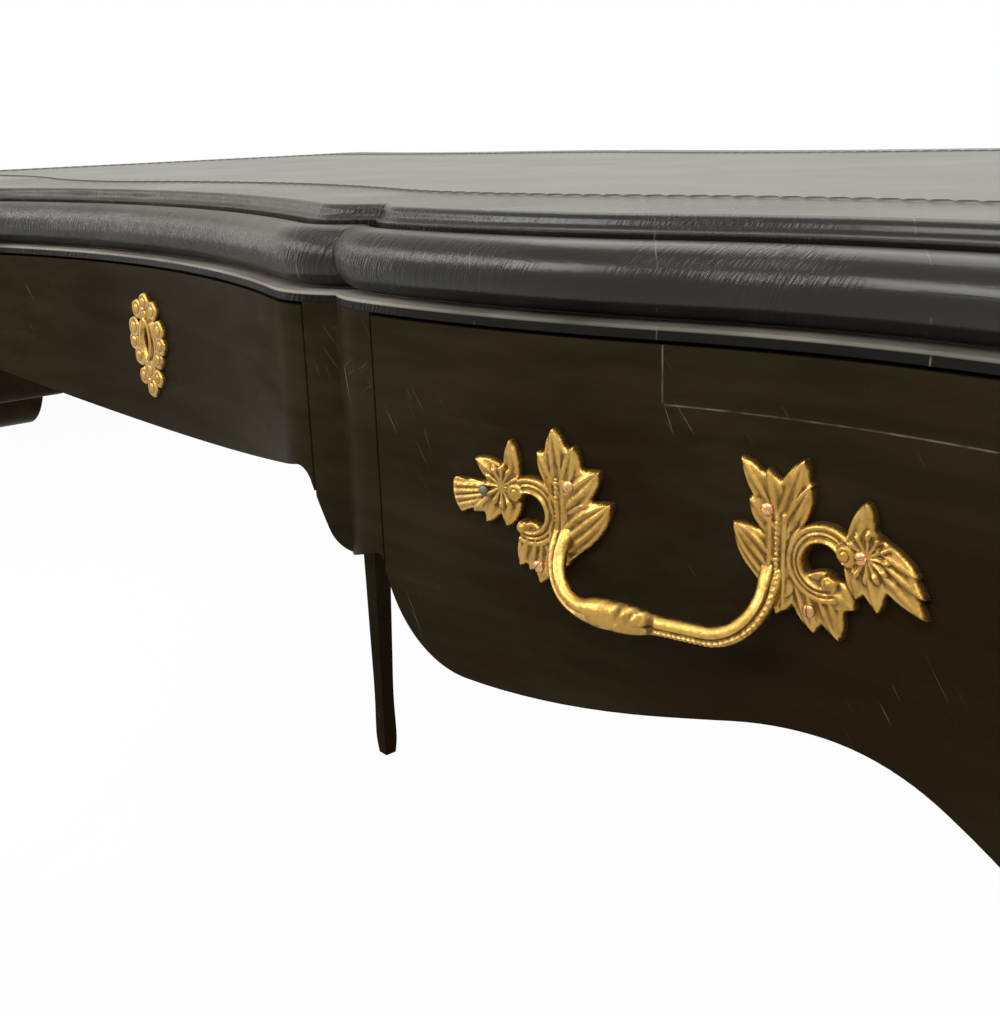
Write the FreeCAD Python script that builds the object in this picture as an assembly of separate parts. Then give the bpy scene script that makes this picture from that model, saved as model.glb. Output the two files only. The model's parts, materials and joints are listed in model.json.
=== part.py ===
import FreeCAD, Part
import os
from math import asin, cos, degrees, pi, radians, sin, sqrt, tan

# Serpentine writing table with three drawers, in millimetres.
# X runs to the right, Y to the back and Z up from the floor. The origin is on the floor, under the middle.
# Plan shapes are drawn as (x, w), where w = -Y is the distance towards the front.

# Overall
HEIGHT = 780.0
TOP_THICKNESS = 38.0
HALF_LENGTH = 634.0       # from the middle to the inner plane of the leg blocks
HALF_DEPTH = 335.0        # from the middle to the face at the rounded shoulders

# Plan line of the frieze, right front quarter
SHOULDER_X = 199.0        # crown of the rounded shoulder on each side of the centre drawer
SHOULDER_RADIUS = 50.0
SHOULDER_RUN = 26.0       # from that crown to the re-entrant notch in the post
BEAD_RUN = 25.0           # from the notch to where the side bay swells most
CENTRE_HOLLOW = 30.0      # depths behind the shoulder
BULGE_HOLLOW = 1.0
WAIST_HOLLOW = 36.5
WAIST_IN = 147.0          # from the leg block to where the side bay draws in most
BULGE_SHARE = 0.6         # part of the bulge to waist curve that is convex
FLARE_RADIUS = 634.0      # from the waist out to the leg block
CORNER_RADIUS = 48.0
END_RADIUS = 400.0        # hollow at each end of the end aprons

# Bays along the front
POST_INNER = 16.0         # from the notch to the gap beside the centre drawer
POST_OUTER = 32.5         # from the notch to the gap beside the side drawer
LEG_EAR = 99.0            # reach of the leg's ears past the leg block
FRONT_THICKNESS = 26.5    # drawer fronts where they are thinnest
APRON_THICKNESS = 23.0
DRAWER_SIDE_GAP = 1.0
DRAWER_TOP_GAP = 1.5

# Lower edge of the frieze, with drops measured from the underside of the top
CENTRE_EDGE_DROP = 91.0
CENTRE_EDGE_RADIUS = 1013.0
CENTRE_EDGE_END = 13.0    # where the arch ends, in from the post
POST_SHOULDER_RADIUS = 9.0
POST_FALL_ANGLE = 66.5
POST_FOOT_RADIUS = 17.3
POST_FOOT_DROP = 108.3
POST_TOE_ANGLE = 20.0     # fall that is left where the toe begins
POST_TOE_RADIUS = 6.0
POST_RISE_ANGLE = 18.0
POST_FOOT_END = 5.5       # where the rising foot ends, in from the outer side of the post
BAY_SHOULDER_RADIUS = 4.5
BAY_FALL_ANGLE = 76.0
BAY_HOLLOW_RADIUS = 49.0
BAY_CREST_DROP = 124.0
BAY_BELLY_SHARE = 0.77
SWEEP_RADIUS = 99.0       # from the crest down towards the leg
SWEEP_ANGLE = 26.0
KNEE_RADIUS = 326.0
KNEE_ANGLE = 60.0
END_BELLY_DROP = 140.0    # middle of the end aprons
END_BELLY_SHARE = 0.55

# Moulded edge of the top, measured inwards from the frieze line
EDGE_WIDTH = 34.0
FLAT_EDGE = 26.0          # where the flat border ends
OGEE_END = 19.0           # where the small ogee ends
OGEE_DEPTH = 6.0
QUIRK_WIDTH = 0.5         # undercut behind the torus
TORUS_RADIUS = 12.5
TORUS_DROP = 20.0         # axis of the torus under the top face
LEDGE_DROP = 33.5         # ledge of the listel under the top face

# Leather, measured inwards from the frieze line
LEATHER_THICKNESS = 1.5
LEATHER_IN_CENTRE = 87.0
LEATHER_IN_SHOULDER = 91.0
LEATHER_IN_WAIST = 82.5
LEATHER_IN_END = 79.0
LEATHER_WAIST_RUN = 221.0 # from the shoulder to where the leather is narrow
LEATHER_CORNER_RADIUS = 26.0

# Leg: side of the section and how far its outer edge stands in from the knee
KNEE_SECTIONS = ((18.0, 49.5, 0.0), (43.0, 43.0, 0.5), (108.0, 33.5, 7.5))       # by depth under the knee
SHANK_SECTIONS = ((300.0, 26.5, 19.0), (150.0, 20.0, 30.5), (60.0, 18.5, 34.0),  # by height over the floor
                  (18.0, 18.8, 33.5), (0.0, 15.5, 35.0))
LEG_STEPS = 24            # even steps from the knee to the floor

# Inside
PARTITION_THICKNESS = 19.0
PARTITION_HEIGHT = 102.0
PARTITION_IN = 15.0       # from the inner side of the post to the partition
TENON_LENGTH = 12.0
TENON_WIDTH = 9.0
TENON_HEIGHT = 60.0
RUNNER_THICKNESS = 10.0
RUNNER_LAP = 14.0         # how far a runner reaches under the drawer side
RUNNER_OUTER = 17.0       # from the ear of the leg to the outer edge of the runner
GUIDE_HEIGHT = 12.0
STOP_LENGTH = 25.0
STOP_HEIGHT = 18.0
STOP_GAP = 0.5

# Drawer boxes
BOX_WALL = 12.0
BOX_REAR_GAP = 82.0       # behind the box, to the back frame
BOX_TOP_GAP = 8.0
SIDE_BOX_HEIGHT = 84.0
CENTRE_BOX_HEIGHT = 58.0
BOX_SIDE_GAP = 5.0        # from the end of a drawer front to the outside of its box
BOTTOM_THICKNESS = 6.0
BOTTOM_UP = 5.0
GROOVE_DEPTH = 5.0
TAIL_LENGTH = 14.0
TAIL_SLOPE = 2.5

# Cleats and screws of the top
CLEAT_LENGTH = 40.0
CLEAT_DEPTH = 34.0
CLEAT_SCREW_IN = 12.0     # screw in from the free edge of the cleat
CLEAT_HEIGHT = 24.0
CLEAT_END_W = 120.0
CLEAT_BACK_X = (150.0, 400.0)
SCREW_SHANK = 4.0
SCREW_HEAD = 8.0
SCREW_HEAD_HEIGHT = 2.5
SCREW_BITE = 18.0
SCREW_CLEARANCE = 0.15

# Mounts
PULL_SHIFT = 2.25         # from the middle of the bay towards the centre drawer
PULL_DROP = 64.0
PLATE_PROUD = 3.6
SCROLL_PROUD = 5.2
BAIL_RADIUS = 3.0
BAIL_PROUD = 10.5
PULL_SCREW_SHANK = 2.2
PULL_SCREW_HEAD = 4.6
PULL_SCREW_LENGTH = 14.0
ESCUTCHEON_DROP = 44.0
ESCUTCHEON_PROUD = 3.4
KEYHOLE_RADIUS = 3.0
KEYHOLE_SLOT = 2.6
KEYHOLE_DROP = 13.0
PIN_RADIUS = 1.2
PIN_LENGTH = 10.0
LOCK_WIDTH = 62.0
LOCK_HEIGHT = 52.0
LOCK_DEPTH = 11.0
LOCK_WALL = 2.0
LOCK_SCREW_BITE = 6.0
BOLT_WIDTH = 18.0
BOLT_THICKNESS = 5.0
BOLT_CLEARANCE = 0.3
BOLT_REST = 1.0           # top of the withdrawn bolt under the top of the lock case

# Places that follow from the sizes
NOTCH_X = SHOULDER_X + SHOULDER_RUN
BULGE_X = NOTCH_X + BEAD_RUN
WAIST_X = HALF_LENGTH - WAIST_IN
CENTRE_W = HALF_DEPTH - CENTRE_HOLLOW
BULGE_W = HALF_DEPTH - BULGE_HOLLOW
WAIST_W = HALF_DEPTH - WAIST_HOLLOW
POST_INNER_X = NOTCH_X - POST_INNER
POST_OUTER_X = NOTCH_X + POST_OUTER
LEG_EAR_X = HALF_LENGTH - LEG_EAR
FRAME_INNER_W = WAIST_W - FRONT_THICKNESS      # inner plane of posts, drawer fronts and back panels
FRIEZE_TOP = HEIGHT - TOP_THICKNESS
FAR = 400.0               # reach of the trimming solids past the table's middle planes
UP = FreeCAD.Vector(0, 0, 1)


def vec(x, w, z=0.0):
    return FreeCAD.Vector(x, -w, z)


def block(x0, x1, w0, w1, z0, z1):
    size = (x1 - x0, w1 - w0, z1 - z0)
    return Part.makeBox(*size, vec(x0, w1, z0))


def mirror_x(shape):
    return shape.mirror(FreeCAD.Vector(), FreeCAD.Vector(1, 0, 0))


def mirror_y(shape):
    return shape.mirror(FreeCAD.Vector(), FreeCAD.Vector(0, 1, 0))


def fuse(shapes):
    first, *rest = shapes
    return first.fuse(rest).removeSplitter() if rest else first


def export(shape, name):
    os.makedirs("parts", exist_ok=True)
    shape.exportStep("parts/%s.step" % name)


# Lines made of tangent arcs.
# A line is a list of strokes (start, heading, turn, size): turn 0 is a straight of length size,
# and otherwise an arc of radius size that turns left by a positive angle. The left side is outside.

def stroke_end(stroke):
    (x, y), heading, turn, size = stroke
    if turn == 0:
        return (x + size * cos(heading), y + size * sin(heading)), heading
    side = 1 if turn > 0 else -1
    after = heading + turn
    dx = side * size * (sin(after) - sin(heading))
    dy = side * size * (cos(heading) - cos(after))
    return (x + dx, y + dy), after


class Pen:
    """Draws a line stroke by stroke."""

    def __init__(self, x, y, heading=0.0):
        self.at = (x, y)
        self.heading = heading
        self.strokes = []

    def add(self, turn, size):
        stroke = (self.at, self.heading, turn, size)
        self.strokes.append(stroke)
        self.at, self.heading = stroke_end(stroke)

    def straight_to_x(self, x):
        self.add(0, (x - self.at[0]) / cos(self.heading))

    def straight_to_y(self, y):
        self.add(0, (y - self.at[1]) / sin(self.heading))

    def arc_to_heading(self, heading, radius):
        self.add(heading - self.heading, radius)

    def arc_to_x(self, x, radius, side):
        after = asin(sin(self.heading) + side * (x - self.at[0]) / radius)
        self.add(after - self.heading, radius)

    def ogee_to(self, x, y, share):
        """Two arcs to a level point, the first with that share of the two radii."""
        dx = x - self.at[0]
        dy = y - self.at[1]
        radii = (dx * dx + dy * dy) / (2 * abs(dy))
        turn = asin(dx / radii) * (1 if dy > 0 else -1)
        self.add(turn, radii * share)
        self.add(-turn, radii * (1 - share))


def offset_stroke(stroke, out):
    (x, y), heading, turn, size = stroke
    start = (x - out * sin(heading), y + out * cos(heading))
    if turn > 0:
        size = size - out
    elif turn < 0:
        size = size + out
    return start, heading, turn, size


def stroke_edge(stroke, place):
    """The edge of a stroke, with place turning its two numbers into a point."""
    start, heading, turn, size = stroke
    end, _ = stroke_end(stroke)
    if turn == 0:
        return Part.LineSegment(place(*start), place(*end)).toShape()
    middle, _ = stroke_end((start, heading, turn / 2, size))
    return Part.Arc(place(*start), place(*middle), place(*end)).toShape()


# Plan line of the frieze

def centre_line():
    """From the middle of the centre drawer to the notch."""
    pen = Pen(0, CENTRE_W)
    radii = (SHOULDER_X ** 2 + CENTRE_HOLLOW ** 2) / (2 * CENTRE_HOLLOW)
    pen.ogee_to(SHOULDER_X, HALF_DEPTH, 1 - SHOULDER_RADIUS / radii)
    pen.arc_to_x(NOTCH_X, SHOULDER_RADIUS, -1)
    return pen


def side_line():
    """From the notch round the corner to the middle of the end."""
    notch = centre_line().at
    dx = BULGE_X - notch[0]
    dw = BULGE_W - notch[1]
    radius = (dx * dx + dw * dw) / (2 * dw)
    pen = Pen(*notch, asin(dx / radius))
    pen.arc_to_heading(0, radius)
    pen.ogee_to(WAIST_X, WAIST_W, BULGE_SHARE)
    pen.arc_to_x(HALF_LENGTH, FLARE_RADIUS, 1)
    flare = pen.heading
    pen.arc_to_heading(-pi / 4, CORNER_RADIUS)
    pen.arc_to_heading(-pi / 2 - flare, CORNER_RADIUS)
    pen.arc_to_heading(-pi / 2, END_RADIUS)
    pen.straight_to_y(0)
    return pen


CENTRE = centre_line()
SIDE = side_line()
NOTCH = CENTRE.at
NOTCH_IN = CENTRE.heading
NOTCH_OUT = SIDE.strokes[0][1]
BLOCK_START = SIDE.strokes[4][0]        # front end of the rounded corner
BLOCK_END = SIDE.strokes[6][0]          # its end on the table's side
LEG_INNER_W = BLOCK_END[1]
LEG_EAR_W = LEG_INNER_W - LEG_EAR
APRON_INNER_X = SIDE.at[0] - APRON_THICKNESS


def quarter_edges(out, z):
    """The right front quarter of the plan line, moved outwards by out, with the notch mitred."""
    def place(x, w):
        return vec(x, w, z)

    reach = -out * tan((NOTCH_OUT - NOTCH_IN) / 2)
    first = [offset_stroke(s, out) for s in CENTRE.strokes]
    second = [offset_stroke(s, out) for s in SIDE.strokes]
    edges = [stroke_edge(s, place) for s in first]
    if reach > 0:
        end, heading = stroke_end(first[-1])
        lead_in = (end, heading, 0, reach)
        corner, _ = stroke_end(lead_in)
        edges.append(stroke_edge(lead_in, place))
        edges.append(Part.LineSegment(place(*corner), place(*second[0][0])).toShape())
    return edges + [stroke_edge(s, place) for s in second]


def plan_face(out, z):
    quarter = Part.Compound(quarter_edges(out, z))
    front = [quarter, mirror_x(quarter)]
    edges = [e for half in front for e in half.Edges]
    edges += [e for half in front for e in mirror_y(half).Edges]
    return Part.Face(Part.Wire(Part.__sortEdges__(edges)))


# Lower edge of the frieze, as (x, z) along the front and (w, z) along the ends

def sweep_to_leg(pen):
    pen.arc_to_heading(radians(-SWEEP_ANGLE), SWEEP_RADIUS)
    pen.arc_to_heading(radians(-KNEE_ANGLE), KNEE_RADIUS)


SWEEP = Pen(0, FRIEZE_TOP - BAY_CREST_DROP)
sweep_to_leg(SWEEP)
SWEEP_REACH, KNEE_Z = SWEEP.at


def front_edge():
    pen = Pen(0, FRIEZE_TOP - CENTRE_EDGE_DROP)
    pen.arc_to_x(POST_INNER_X - CENTRE_EDGE_END, CENTRE_EDGE_RADIUS, 1)
    fall = radians(-POST_FALL_ANGLE)
    pen.arc_to_heading(fall, POST_SHOULDER_RADIUS)
    pen.straight_to_y(FRIEZE_TOP - POST_FOOT_DROP + POST_FOOT_RADIUS * (1 - cos(fall)))
    pen.arc_to_heading(radians(-POST_TOE_ANGLE), POST_FOOT_RADIUS)
    pen.arc_to_heading(radians(POST_RISE_ANGLE), POST_TOE_RADIUS)
    pen.straight_to_x(POST_OUTER_X - POST_FOOT_END)
    pen.arc_to_heading(radians(-BAY_FALL_ANGLE), BAY_SHOULDER_RADIUS)
    pen.arc_to_heading(0, BAY_HOLLOW_RADIUS)
    pen.ogee_to(HALF_LENGTH - SWEEP_REACH, FRIEZE_TOP - BAY_CREST_DROP, BAY_BELLY_SHARE)
    sweep_to_leg(pen)
    return pen


def end_edge():
    pen = Pen(0, FRIEZE_TOP - END_BELLY_DROP)
    pen.ogee_to(LEG_INNER_W - SWEEP_REACH, FRIEZE_TOP - BAY_CREST_DROP, END_BELLY_SHARE)
    sweep_to_leg(pen)
    return pen


def space_under(pen, place, along):
    """The open space under a lower edge, both halves, as a solid."""
    half = [stroke_edge(s, place) for s in pen.strokes]
    other = [stroke_edge(s, lambda a, z: place(-a, z)) for s in pen.strokes]
    reach = pen.at[0]
    low = KNEE_Z - TOP_THICKNESS
    corners = [place(reach, KNEE_Z), place(reach, low), place(-reach, low), place(-reach, KNEE_Z)]
    sides = [Part.LineSegment(a, b).toShape() for a, b in zip(corners, corners[1:])]
    face = Part.Face(Part.Wire(Part.__sortEdges__(half + other + sides)))
    return face.extrude(along)


def make_frieze():
    """The whole band under the top, with the lower edges of its four sides cut."""
    low = KNEE_Z - TOP_THICKNESS / 2
    band = plan_face(0, low).extrude(UP * (FRIEZE_TOP - low))
    front_depth = FAR - FRAME_INNER_W + TENON_LENGTH
    front = space_under(front_edge(), lambda x, z: vec(x, FAR, z), FreeCAD.Vector(0, front_depth, 0))
    end_x = 2 * FAR
    end_depth = end_x - APRON_INNER_X + TENON_LENGTH
    end = space_under(end_edge(), lambda w, z: vec(end_x, w, z), FreeCAD.Vector(-end_depth, 0, 0))
    return band.cut([front, mirror_y(front), end, mirror_x(end)])


FRIEZE = make_frieze()


def frieze_piece(x0, x1, z_top=FRIEZE_TOP):
    """The front of the frieze between two X planes."""
    return FRIEZE.copy().common(block(x0, x1, FRAME_INNER_W, FAR, 0, z_top))


# Top

def edge_profile():
    """Section of the moulded edge as (out, z) points, from the top's inner corner round to the underside."""
    def at(out, drop):
        return FreeCAD.Vector(out, 0, HEIGHT - drop)

    crown = (FLAT_EDGE + OGEE_END) / 2
    half_drop = OGEE_DEPTH / 2
    root = OGEE_END + QUIRK_WIDTH
    root_angle = pi - asin(sqrt(1 - ((root - TORUS_RADIUS) / TORUS_RADIUS) ** 2))

    def torus(angle):
        return at(-TORUS_RADIUS + TORUS_RADIUS * cos(angle), TORUS_DROP - TORUS_RADIUS * sin(angle))

    neck = torus(-pi / 2)
    edges = [
        Part.LineSegment(at(-EDGE_WIDTH, 0), at(-FLAT_EDGE, 0)),
        Part.Arc(at(-FLAT_EDGE, 0), at(-crown - 1, half_drop * 0.35), at(-crown, half_drop)),
        Part.Arc(at(-crown, half_drop), at(-crown + 1.2, OGEE_DEPTH * 0.85), at(-OGEE_END, OGEE_DEPTH)),
        Part.LineSegment(at(-OGEE_END, OGEE_DEPTH), torus(root_angle)),
        Part.Arc(torus(root_angle), torus(pi / 6), torus(-pi / 2)),
        Part.LineSegment(neck, at(-TORUS_RADIUS, LEDGE_DROP)),
        Part.LineSegment(at(-TORUS_RADIUS, LEDGE_DROP), at(0, LEDGE_DROP)),
        Part.LineSegment(at(0, LEDGE_DROP), at(0, TOP_THICKNESS)),
        Part.LineSegment(at(0, TOP_THICKNESS), at(-EDGE_WIDTH, TOP_THICKNESS)),
        Part.LineSegment(at(-EDGE_WIDTH, TOP_THICKNESS), at(-EDGE_WIDTH, 0)),
    ]
    return Part.Face(Part.Wire([e.toShape() for e in edges]))


PROFILE = edge_profile()


def swept_edge(stroke):
    """The moulded edge along one stroke of the plan line."""
    (x, w), heading, turn, size = stroke
    section = PROFILE.copy()
    section.rotate(FreeCAD.Vector(), UP, -90 - degrees(heading))
    section.translate(vec(x, w))
    if turn == 0:
        return section.extrude(vec(size * cos(heading), size * sin(heading)))
    side = 1 if turn > 0 else -1
    centre = vec(x - side * size * sin(heading), w + side * size * cos(heading))
    return section.revolve(centre, UP, -degrees(turn))


def mitre_side(sign):
    """The space on one side of the mitre plane at the notch."""
    tilt = (NOTCH_IN + NOTCH_OUT) / 2
    half = Part.makeBox(FAR, 2 * FAR, 2 * HEIGHT, FreeCAD.Vector(0 if sign > 0 else -FAR, -FAR, 0))
    half.rotate(FreeCAD.Vector(), UP, -degrees(tilt))
    half.translate(vec(*NOTCH))
    return half


def moulding_centre():
    lead_out = (NOTCH, NOTCH_IN, 0, EDGE_WIDTH)
    right = fuse([swept_edge(s) for s in CENTRE.strokes + [lead_out]])
    right = right.cut(mitre_side(1))
    return fuse([right, mirror_x(right)])


def moulding_side():
    lead = EDGE_WIDTH
    start = (NOTCH[0] - lead * cos(NOTCH_OUT), NOTCH[1] - lead * sin(NOTCH_OUT))
    lead_in = (start, NOTCH_OUT, 0, lead)
    run = fuse([swept_edge(s) for s in [lead_in] + SIDE.strokes[:5]])
    return run.cut(mitre_side(-1))


def moulding_end():
    half = fuse([swept_edge(s) for s in SIDE.strokes[5:]])
    return fuse([half, mirror_y(half)])


def leather_face(z):
    pen = Pen(0, CENTRE_W - LEATHER_IN_CENTRE)
    pen.ogee_to(SHOULDER_X, HALF_DEPTH - LEATHER_IN_SHOULDER, 0.7)
    pen.ogee_to(SHOULDER_X + LEATHER_WAIST_RUN, WAIST_W - LEATHER_IN_WAIST, 0.5)
    pen.straight_to_x(SIDE.at[0] - LEATHER_IN_END - LEATHER_CORNER_RADIUS)
    pen.arc_to_heading(-pi / 2, LEATHER_CORNER_RADIUS)
    pen.straight_to_y(0)
    quarter = Part.Compound([stroke_edge(s, lambda x, w: vec(x, w, z)) for s in pen.strokes])
    halves = [quarter, mirror_x(quarter)]
    halves += [mirror_y(h) for h in halves]
    return Part.Face(Part.Wire(Part.__sortEdges__([e for h in halves for e in h.Edges])))


# Screws: a shank from the seat inwards and a domed head outside it

def screw(seat, along, shank, head, head_height, length):
    """Turned about its own axis: along is the way that it is driven."""
    def at(radius, depth):
        return FreeCAD.Vector(radius, 0, depth)

    dome = (head ** 2 / 4 + head_height ** 2) / (2 * head_height)
    slope = asin(head / 2 / dome) / 2
    shoulder = at(dome * sin(slope), dome * (1 - cos(slope)) - head_height)
    edges = [
        Part.Arc(at(0, -head_height), shoulder, at(head / 2, 0)),
        Part.LineSegment(at(head / 2, 0), at(shank / 2, 0)),
        Part.LineSegment(at(shank / 2, 0), at(shank / 2, length)),
        Part.LineSegment(at(shank / 2, length), at(0, length)),
        Part.LineSegment(at(0, length), at(0, -head_height)),
    ]
    half = Part.Face(Part.Wire([e.toShape() for e in edges]))
    turned = half.revolve(FreeCAD.Vector(), UP, 360)
    turned.Placement = FreeCAD.Placement(seat, FreeCAD.Rotation(UP, along))
    return turned


def screw_hole(seat, along, shank, length):
    return Part.makeCylinder(shank / 2 + SCREW_CLEARANCE, length + SCREW_CLEARANCE, seat, along)


def cleat_places():
    """Each cleat as its box and the seat of its screw."""
    low = FRIEZE_TOP - CLEAT_HEIGHT
    half = CLEAT_LENGTH / 2
    for sx in (-1, 1):
        for w in (-CLEAT_END_W, CLEAT_END_W):
            free_x = APRON_INNER_X - CLEAT_DEPTH
            xs = sorted((sx * free_x, sx * APRON_INNER_X))
            box = block(*xs, w - half, w + half, low, FRIEZE_TOP)
            yield box, vec(sx * (free_x + CLEAT_SCREW_IN), w, low)
        for x in CLEAT_BACK_X:
            free_w = CLEAT_DEPTH - FRAME_INNER_W
            box = block(sx * x - half, sx * x + half, -FRAME_INNER_W, free_w, low, FRIEZE_TOP)
            yield box, vec(sx * x, free_w - CLEAT_SCREW_IN, low)


def build_top():
    cleats = []
    screws = []
    leather = leather_face(HEIGHT - LEATHER_THICKNESS).extrude(UP * LEATHER_THICKNESS)
    panel = plan_face(-EDGE_WIDTH, FRIEZE_TOP).extrude(UP * TOP_THICKNESS).cut(leather)
    length = CLEAT_HEIGHT + SCREW_BITE
    for box, seat in cleat_places():
        hole = screw_hole(seat, UP, SCREW_SHANK, length)
        cleats.append(box.cut(hole))
        panel = panel.cut(hole)
        screws.append(screw(seat, UP, SCREW_SHANK, SCREW_HEAD, SCREW_HEAD_HEIGHT, length))
    export(panel, "top_panel")
    export(leather, "leather_inset")
    export(Part.Compound(cleats), "top_cleats")
    export(Part.Compound(screws), "top_screws")
    centre = moulding_centre()
    right = moulding_side()
    end = moulding_end()
    export(centre, "moulding_front_centre")
    export(mirror_y(centre), "moulding_back_centre")
    export(right, "moulding_front_right")
    export(mirror_x(right), "moulding_front_left")
    export(mirror_y(right), "moulding_back_right")
    export(mirror_x(mirror_y(right)), "moulding_back_left")
    export(end, "moulding_right_end")
    export(mirror_x(end), "moulding_left_end")


# Legs, aprons, posts, back panels and partitions

def leg_section(z, side, inset):
    """Two flat inner faces and one rounded outer face."""
    knee = BLOCK_END[0] - HALF_LENGTH
    out_x = BLOCK_END[0] - inset
    out_w = BLOCK_START[1] - inset
    inner = vec(out_x - side, out_w - side, z)
    front = vec(out_x - side, out_w, z)
    flank = vec(out_x, out_w - side, z)
    arc_middle, _ = stroke_end(SIDE.strokes[4])
    bulge = (arc_middle[0] - HALF_LENGTH) / knee * side
    crown = vec(out_x - side + bulge, out_w - side + bulge, z)
    edges = [
        Part.LineSegment(inner, front).toShape(),
        Part.Arc(front, crown, flank).toShape(),
        Part.LineSegment(flank, inner).toShape(),
    ]
    return Part.Wire(edges)


def leg_line():
    """Side and inset of the leg as one smooth curve over the depth under the knee."""
    rows = [(0.0, BLOCK_END[0] - HALF_LENGTH, 0.0)] + list(KNEE_SECTIONS)
    rows += [(KNEE_Z - z, side, inset) for z, side, inset in SHANK_SECTIONS]
    curve = Part.BSplineCurve()
    curve.interpolate(Points=[FreeCAD.Vector(side, inset, 0) for drop, side, inset in rows],
                      Parameters=[drop for drop, side, inset in rows])
    return curve


def right_front_leg():
    plan = [(LEG_EAR_X, FRAME_INNER_W), (LEG_EAR_X, FAR), (2 * FAR, FAR), (2 * FAR, LEG_EAR_W),
            (APRON_INNER_X, LEG_EAR_W), (APRON_INNER_X, LEG_INNER_W), (HALF_LENGTH, LEG_INNER_W),
            (HALF_LENGTH, FRAME_INNER_W)]
    corners = [vec(x, w, KNEE_Z) for x, w in plan]
    prism = Part.Face(Part.makePolygon(corners + corners[:1])).extrude(UP * (FRIEZE_TOP - KNEE_Z))
    stile = FRIEZE.copy().common(prism)
    line = leg_line()
    drops = [KNEE_Z * step / LEG_STEPS for step in range(LEG_STEPS + 1)]
    sections = [leg_section(KNEE_Z - drop, line.value(drop).x, line.value(drop).y) for drop in drops]
    return fuse([stile, Part.makeLoft(sections, True, False)])


def tenon(x, w, along_x):
    """A tenon centred on a joint between two pieces."""
    half_length = TENON_LENGTH if along_x else TENON_WIDTH / 2
    half_depth = TENON_WIDTH / 2 if along_x else TENON_LENGTH
    low = FRIEZE_TOP - TENON_HEIGHT - TENON_LENGTH
    return block(x - half_length, x + half_length, w - half_depth, w + half_depth, low, low + TENON_HEIGHT)


def build_carcass():
    leg = right_front_leg()
    apron_mid = (APRON_INNER_X + SIDE.at[0]) / 2
    apron_tenon = tenon(apron_mid, LEG_EAR_W, False)
    panel_mid = FRAME_INNER_W + TENON_WIDTH
    panel_tenon = tenon(LEG_EAR_X, panel_mid, True)
    post_tenon = tenon(POST_OUTER_X, panel_mid, True)
    centre_tenon = tenon(POST_INNER_X, panel_mid, True)
    partition_mid = PARTITION_INNER_X + PARTITION_THICKNESS / 2
    partition_tenon = tenon(partition_mid, FRAME_INNER_W, False)

    front_leg = leg.cut(apron_tenon)
    back_leg = front_leg.cut(panel_tenon)
    export(front_leg, "leg_front_right")
    export(mirror_x(front_leg), "leg_front_left")
    export(mirror_y(back_leg), "leg_back_right")
    export(mirror_x(mirror_y(back_leg)), "leg_back_left")

    apron = FRIEZE.copy().common(block(APRON_INNER_X, 2 * FAR, -LEG_EAR_W, LEG_EAR_W, 0, FRIEZE_TOP))
    apron = fuse([apron, apron_tenon, mirror_y(apron_tenon)])
    export(apron, "apron_right")
    export(mirror_x(apron), "apron_left")

    post = frieze_piece(POST_INNER_X, POST_OUTER_X).cut(partition_tenon)
    back_post = post.cut([post_tenon, centre_tenon])
    export(post, "post_front_right")
    export(mirror_x(post), "post_front_left")
    export(mirror_y(back_post), "post_back_right")
    export(mirror_x(mirror_y(back_post)), "post_back_left")

    partition_outer_x = PARTITION_INNER_X + PARTITION_THICKNESS
    low = FRIEZE_TOP - PARTITION_HEIGHT
    board = block(PARTITION_INNER_X, partition_outer_x, -FRAME_INNER_W, FRAME_INNER_W, low, FRIEZE_TOP)
    partition = fuse([board, partition_tenon, mirror_y(partition_tenon)])
    export(partition, "partition_right")
    export(mirror_x(partition), "partition_left")

    side_panel = fuse([frieze_piece(POST_OUTER_X, LEG_EAR_X), panel_tenon, post_tenon])
    centre_panel = fuse([frieze_piece(-POST_INNER_X, POST_INNER_X), centre_tenon, mirror_x(centre_tenon)])
    side_panel = side_panel.cut(pull_holes())
    centre_panel = centre_panel.cut(pin_holes())
    export(mirror_y(side_panel), "back_panel_right")
    export(mirror_x(mirror_y(side_panel)), "back_panel_left")
    export(mirror_y(centre_panel), "back_panel_centre")


# Runners, guides and stops

PARTITION_INNER_X = POST_INNER_X + PARTITION_IN
SIDE_BOX_INNER = POST_OUTER_X + DRAWER_SIDE_GAP + BOX_SIDE_GAP
SIDE_BOX_OUTER = LEG_EAR_X - DRAWER_SIDE_GAP - BOX_SIDE_GAP
CENTRE_BOX_OUTER = POST_INNER_X - DRAWER_SIDE_GAP - BOX_SIDE_GAP
BOX_TOP_Z = FRIEZE_TOP - BOX_TOP_GAP
SIDE_BOX_Z = BOX_TOP_Z - SIDE_BOX_HEIGHT
CENTRE_BOX_Z = BOX_TOP_Z - CENTRE_BOX_HEIGHT
BOX_REAR_W = BOX_REAR_GAP - FRAME_INNER_W


def runner(x_wall, x_box, z):
    """An L-shaped strip from the wall that carries it to under the side of a box."""
    toward = 1 if x_box > x_wall else -1
    under = sorted((x_wall, x_box + toward * RUNNER_LAP))
    beside = sorted((x_wall, x_box - toward * DRAWER_SIDE_GAP))
    strip = block(*under, -FRAME_INNER_W, FRAME_INNER_W, z - RUNNER_THICKNESS, z)
    guide = block(*beside, -FRAME_INNER_W, FRAME_INNER_W, z, z + GUIDE_HEIGHT)
    return fuse([strip, guide])


def stop(x_box, toward, z):
    xs = sorted((x_box, x_box + toward * RUNNER_LAP))
    rear = BOX_REAR_W - STOP_GAP
    return block(*xs, rear - STOP_LENGTH, rear, z, z + STOP_HEIGHT)




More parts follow.
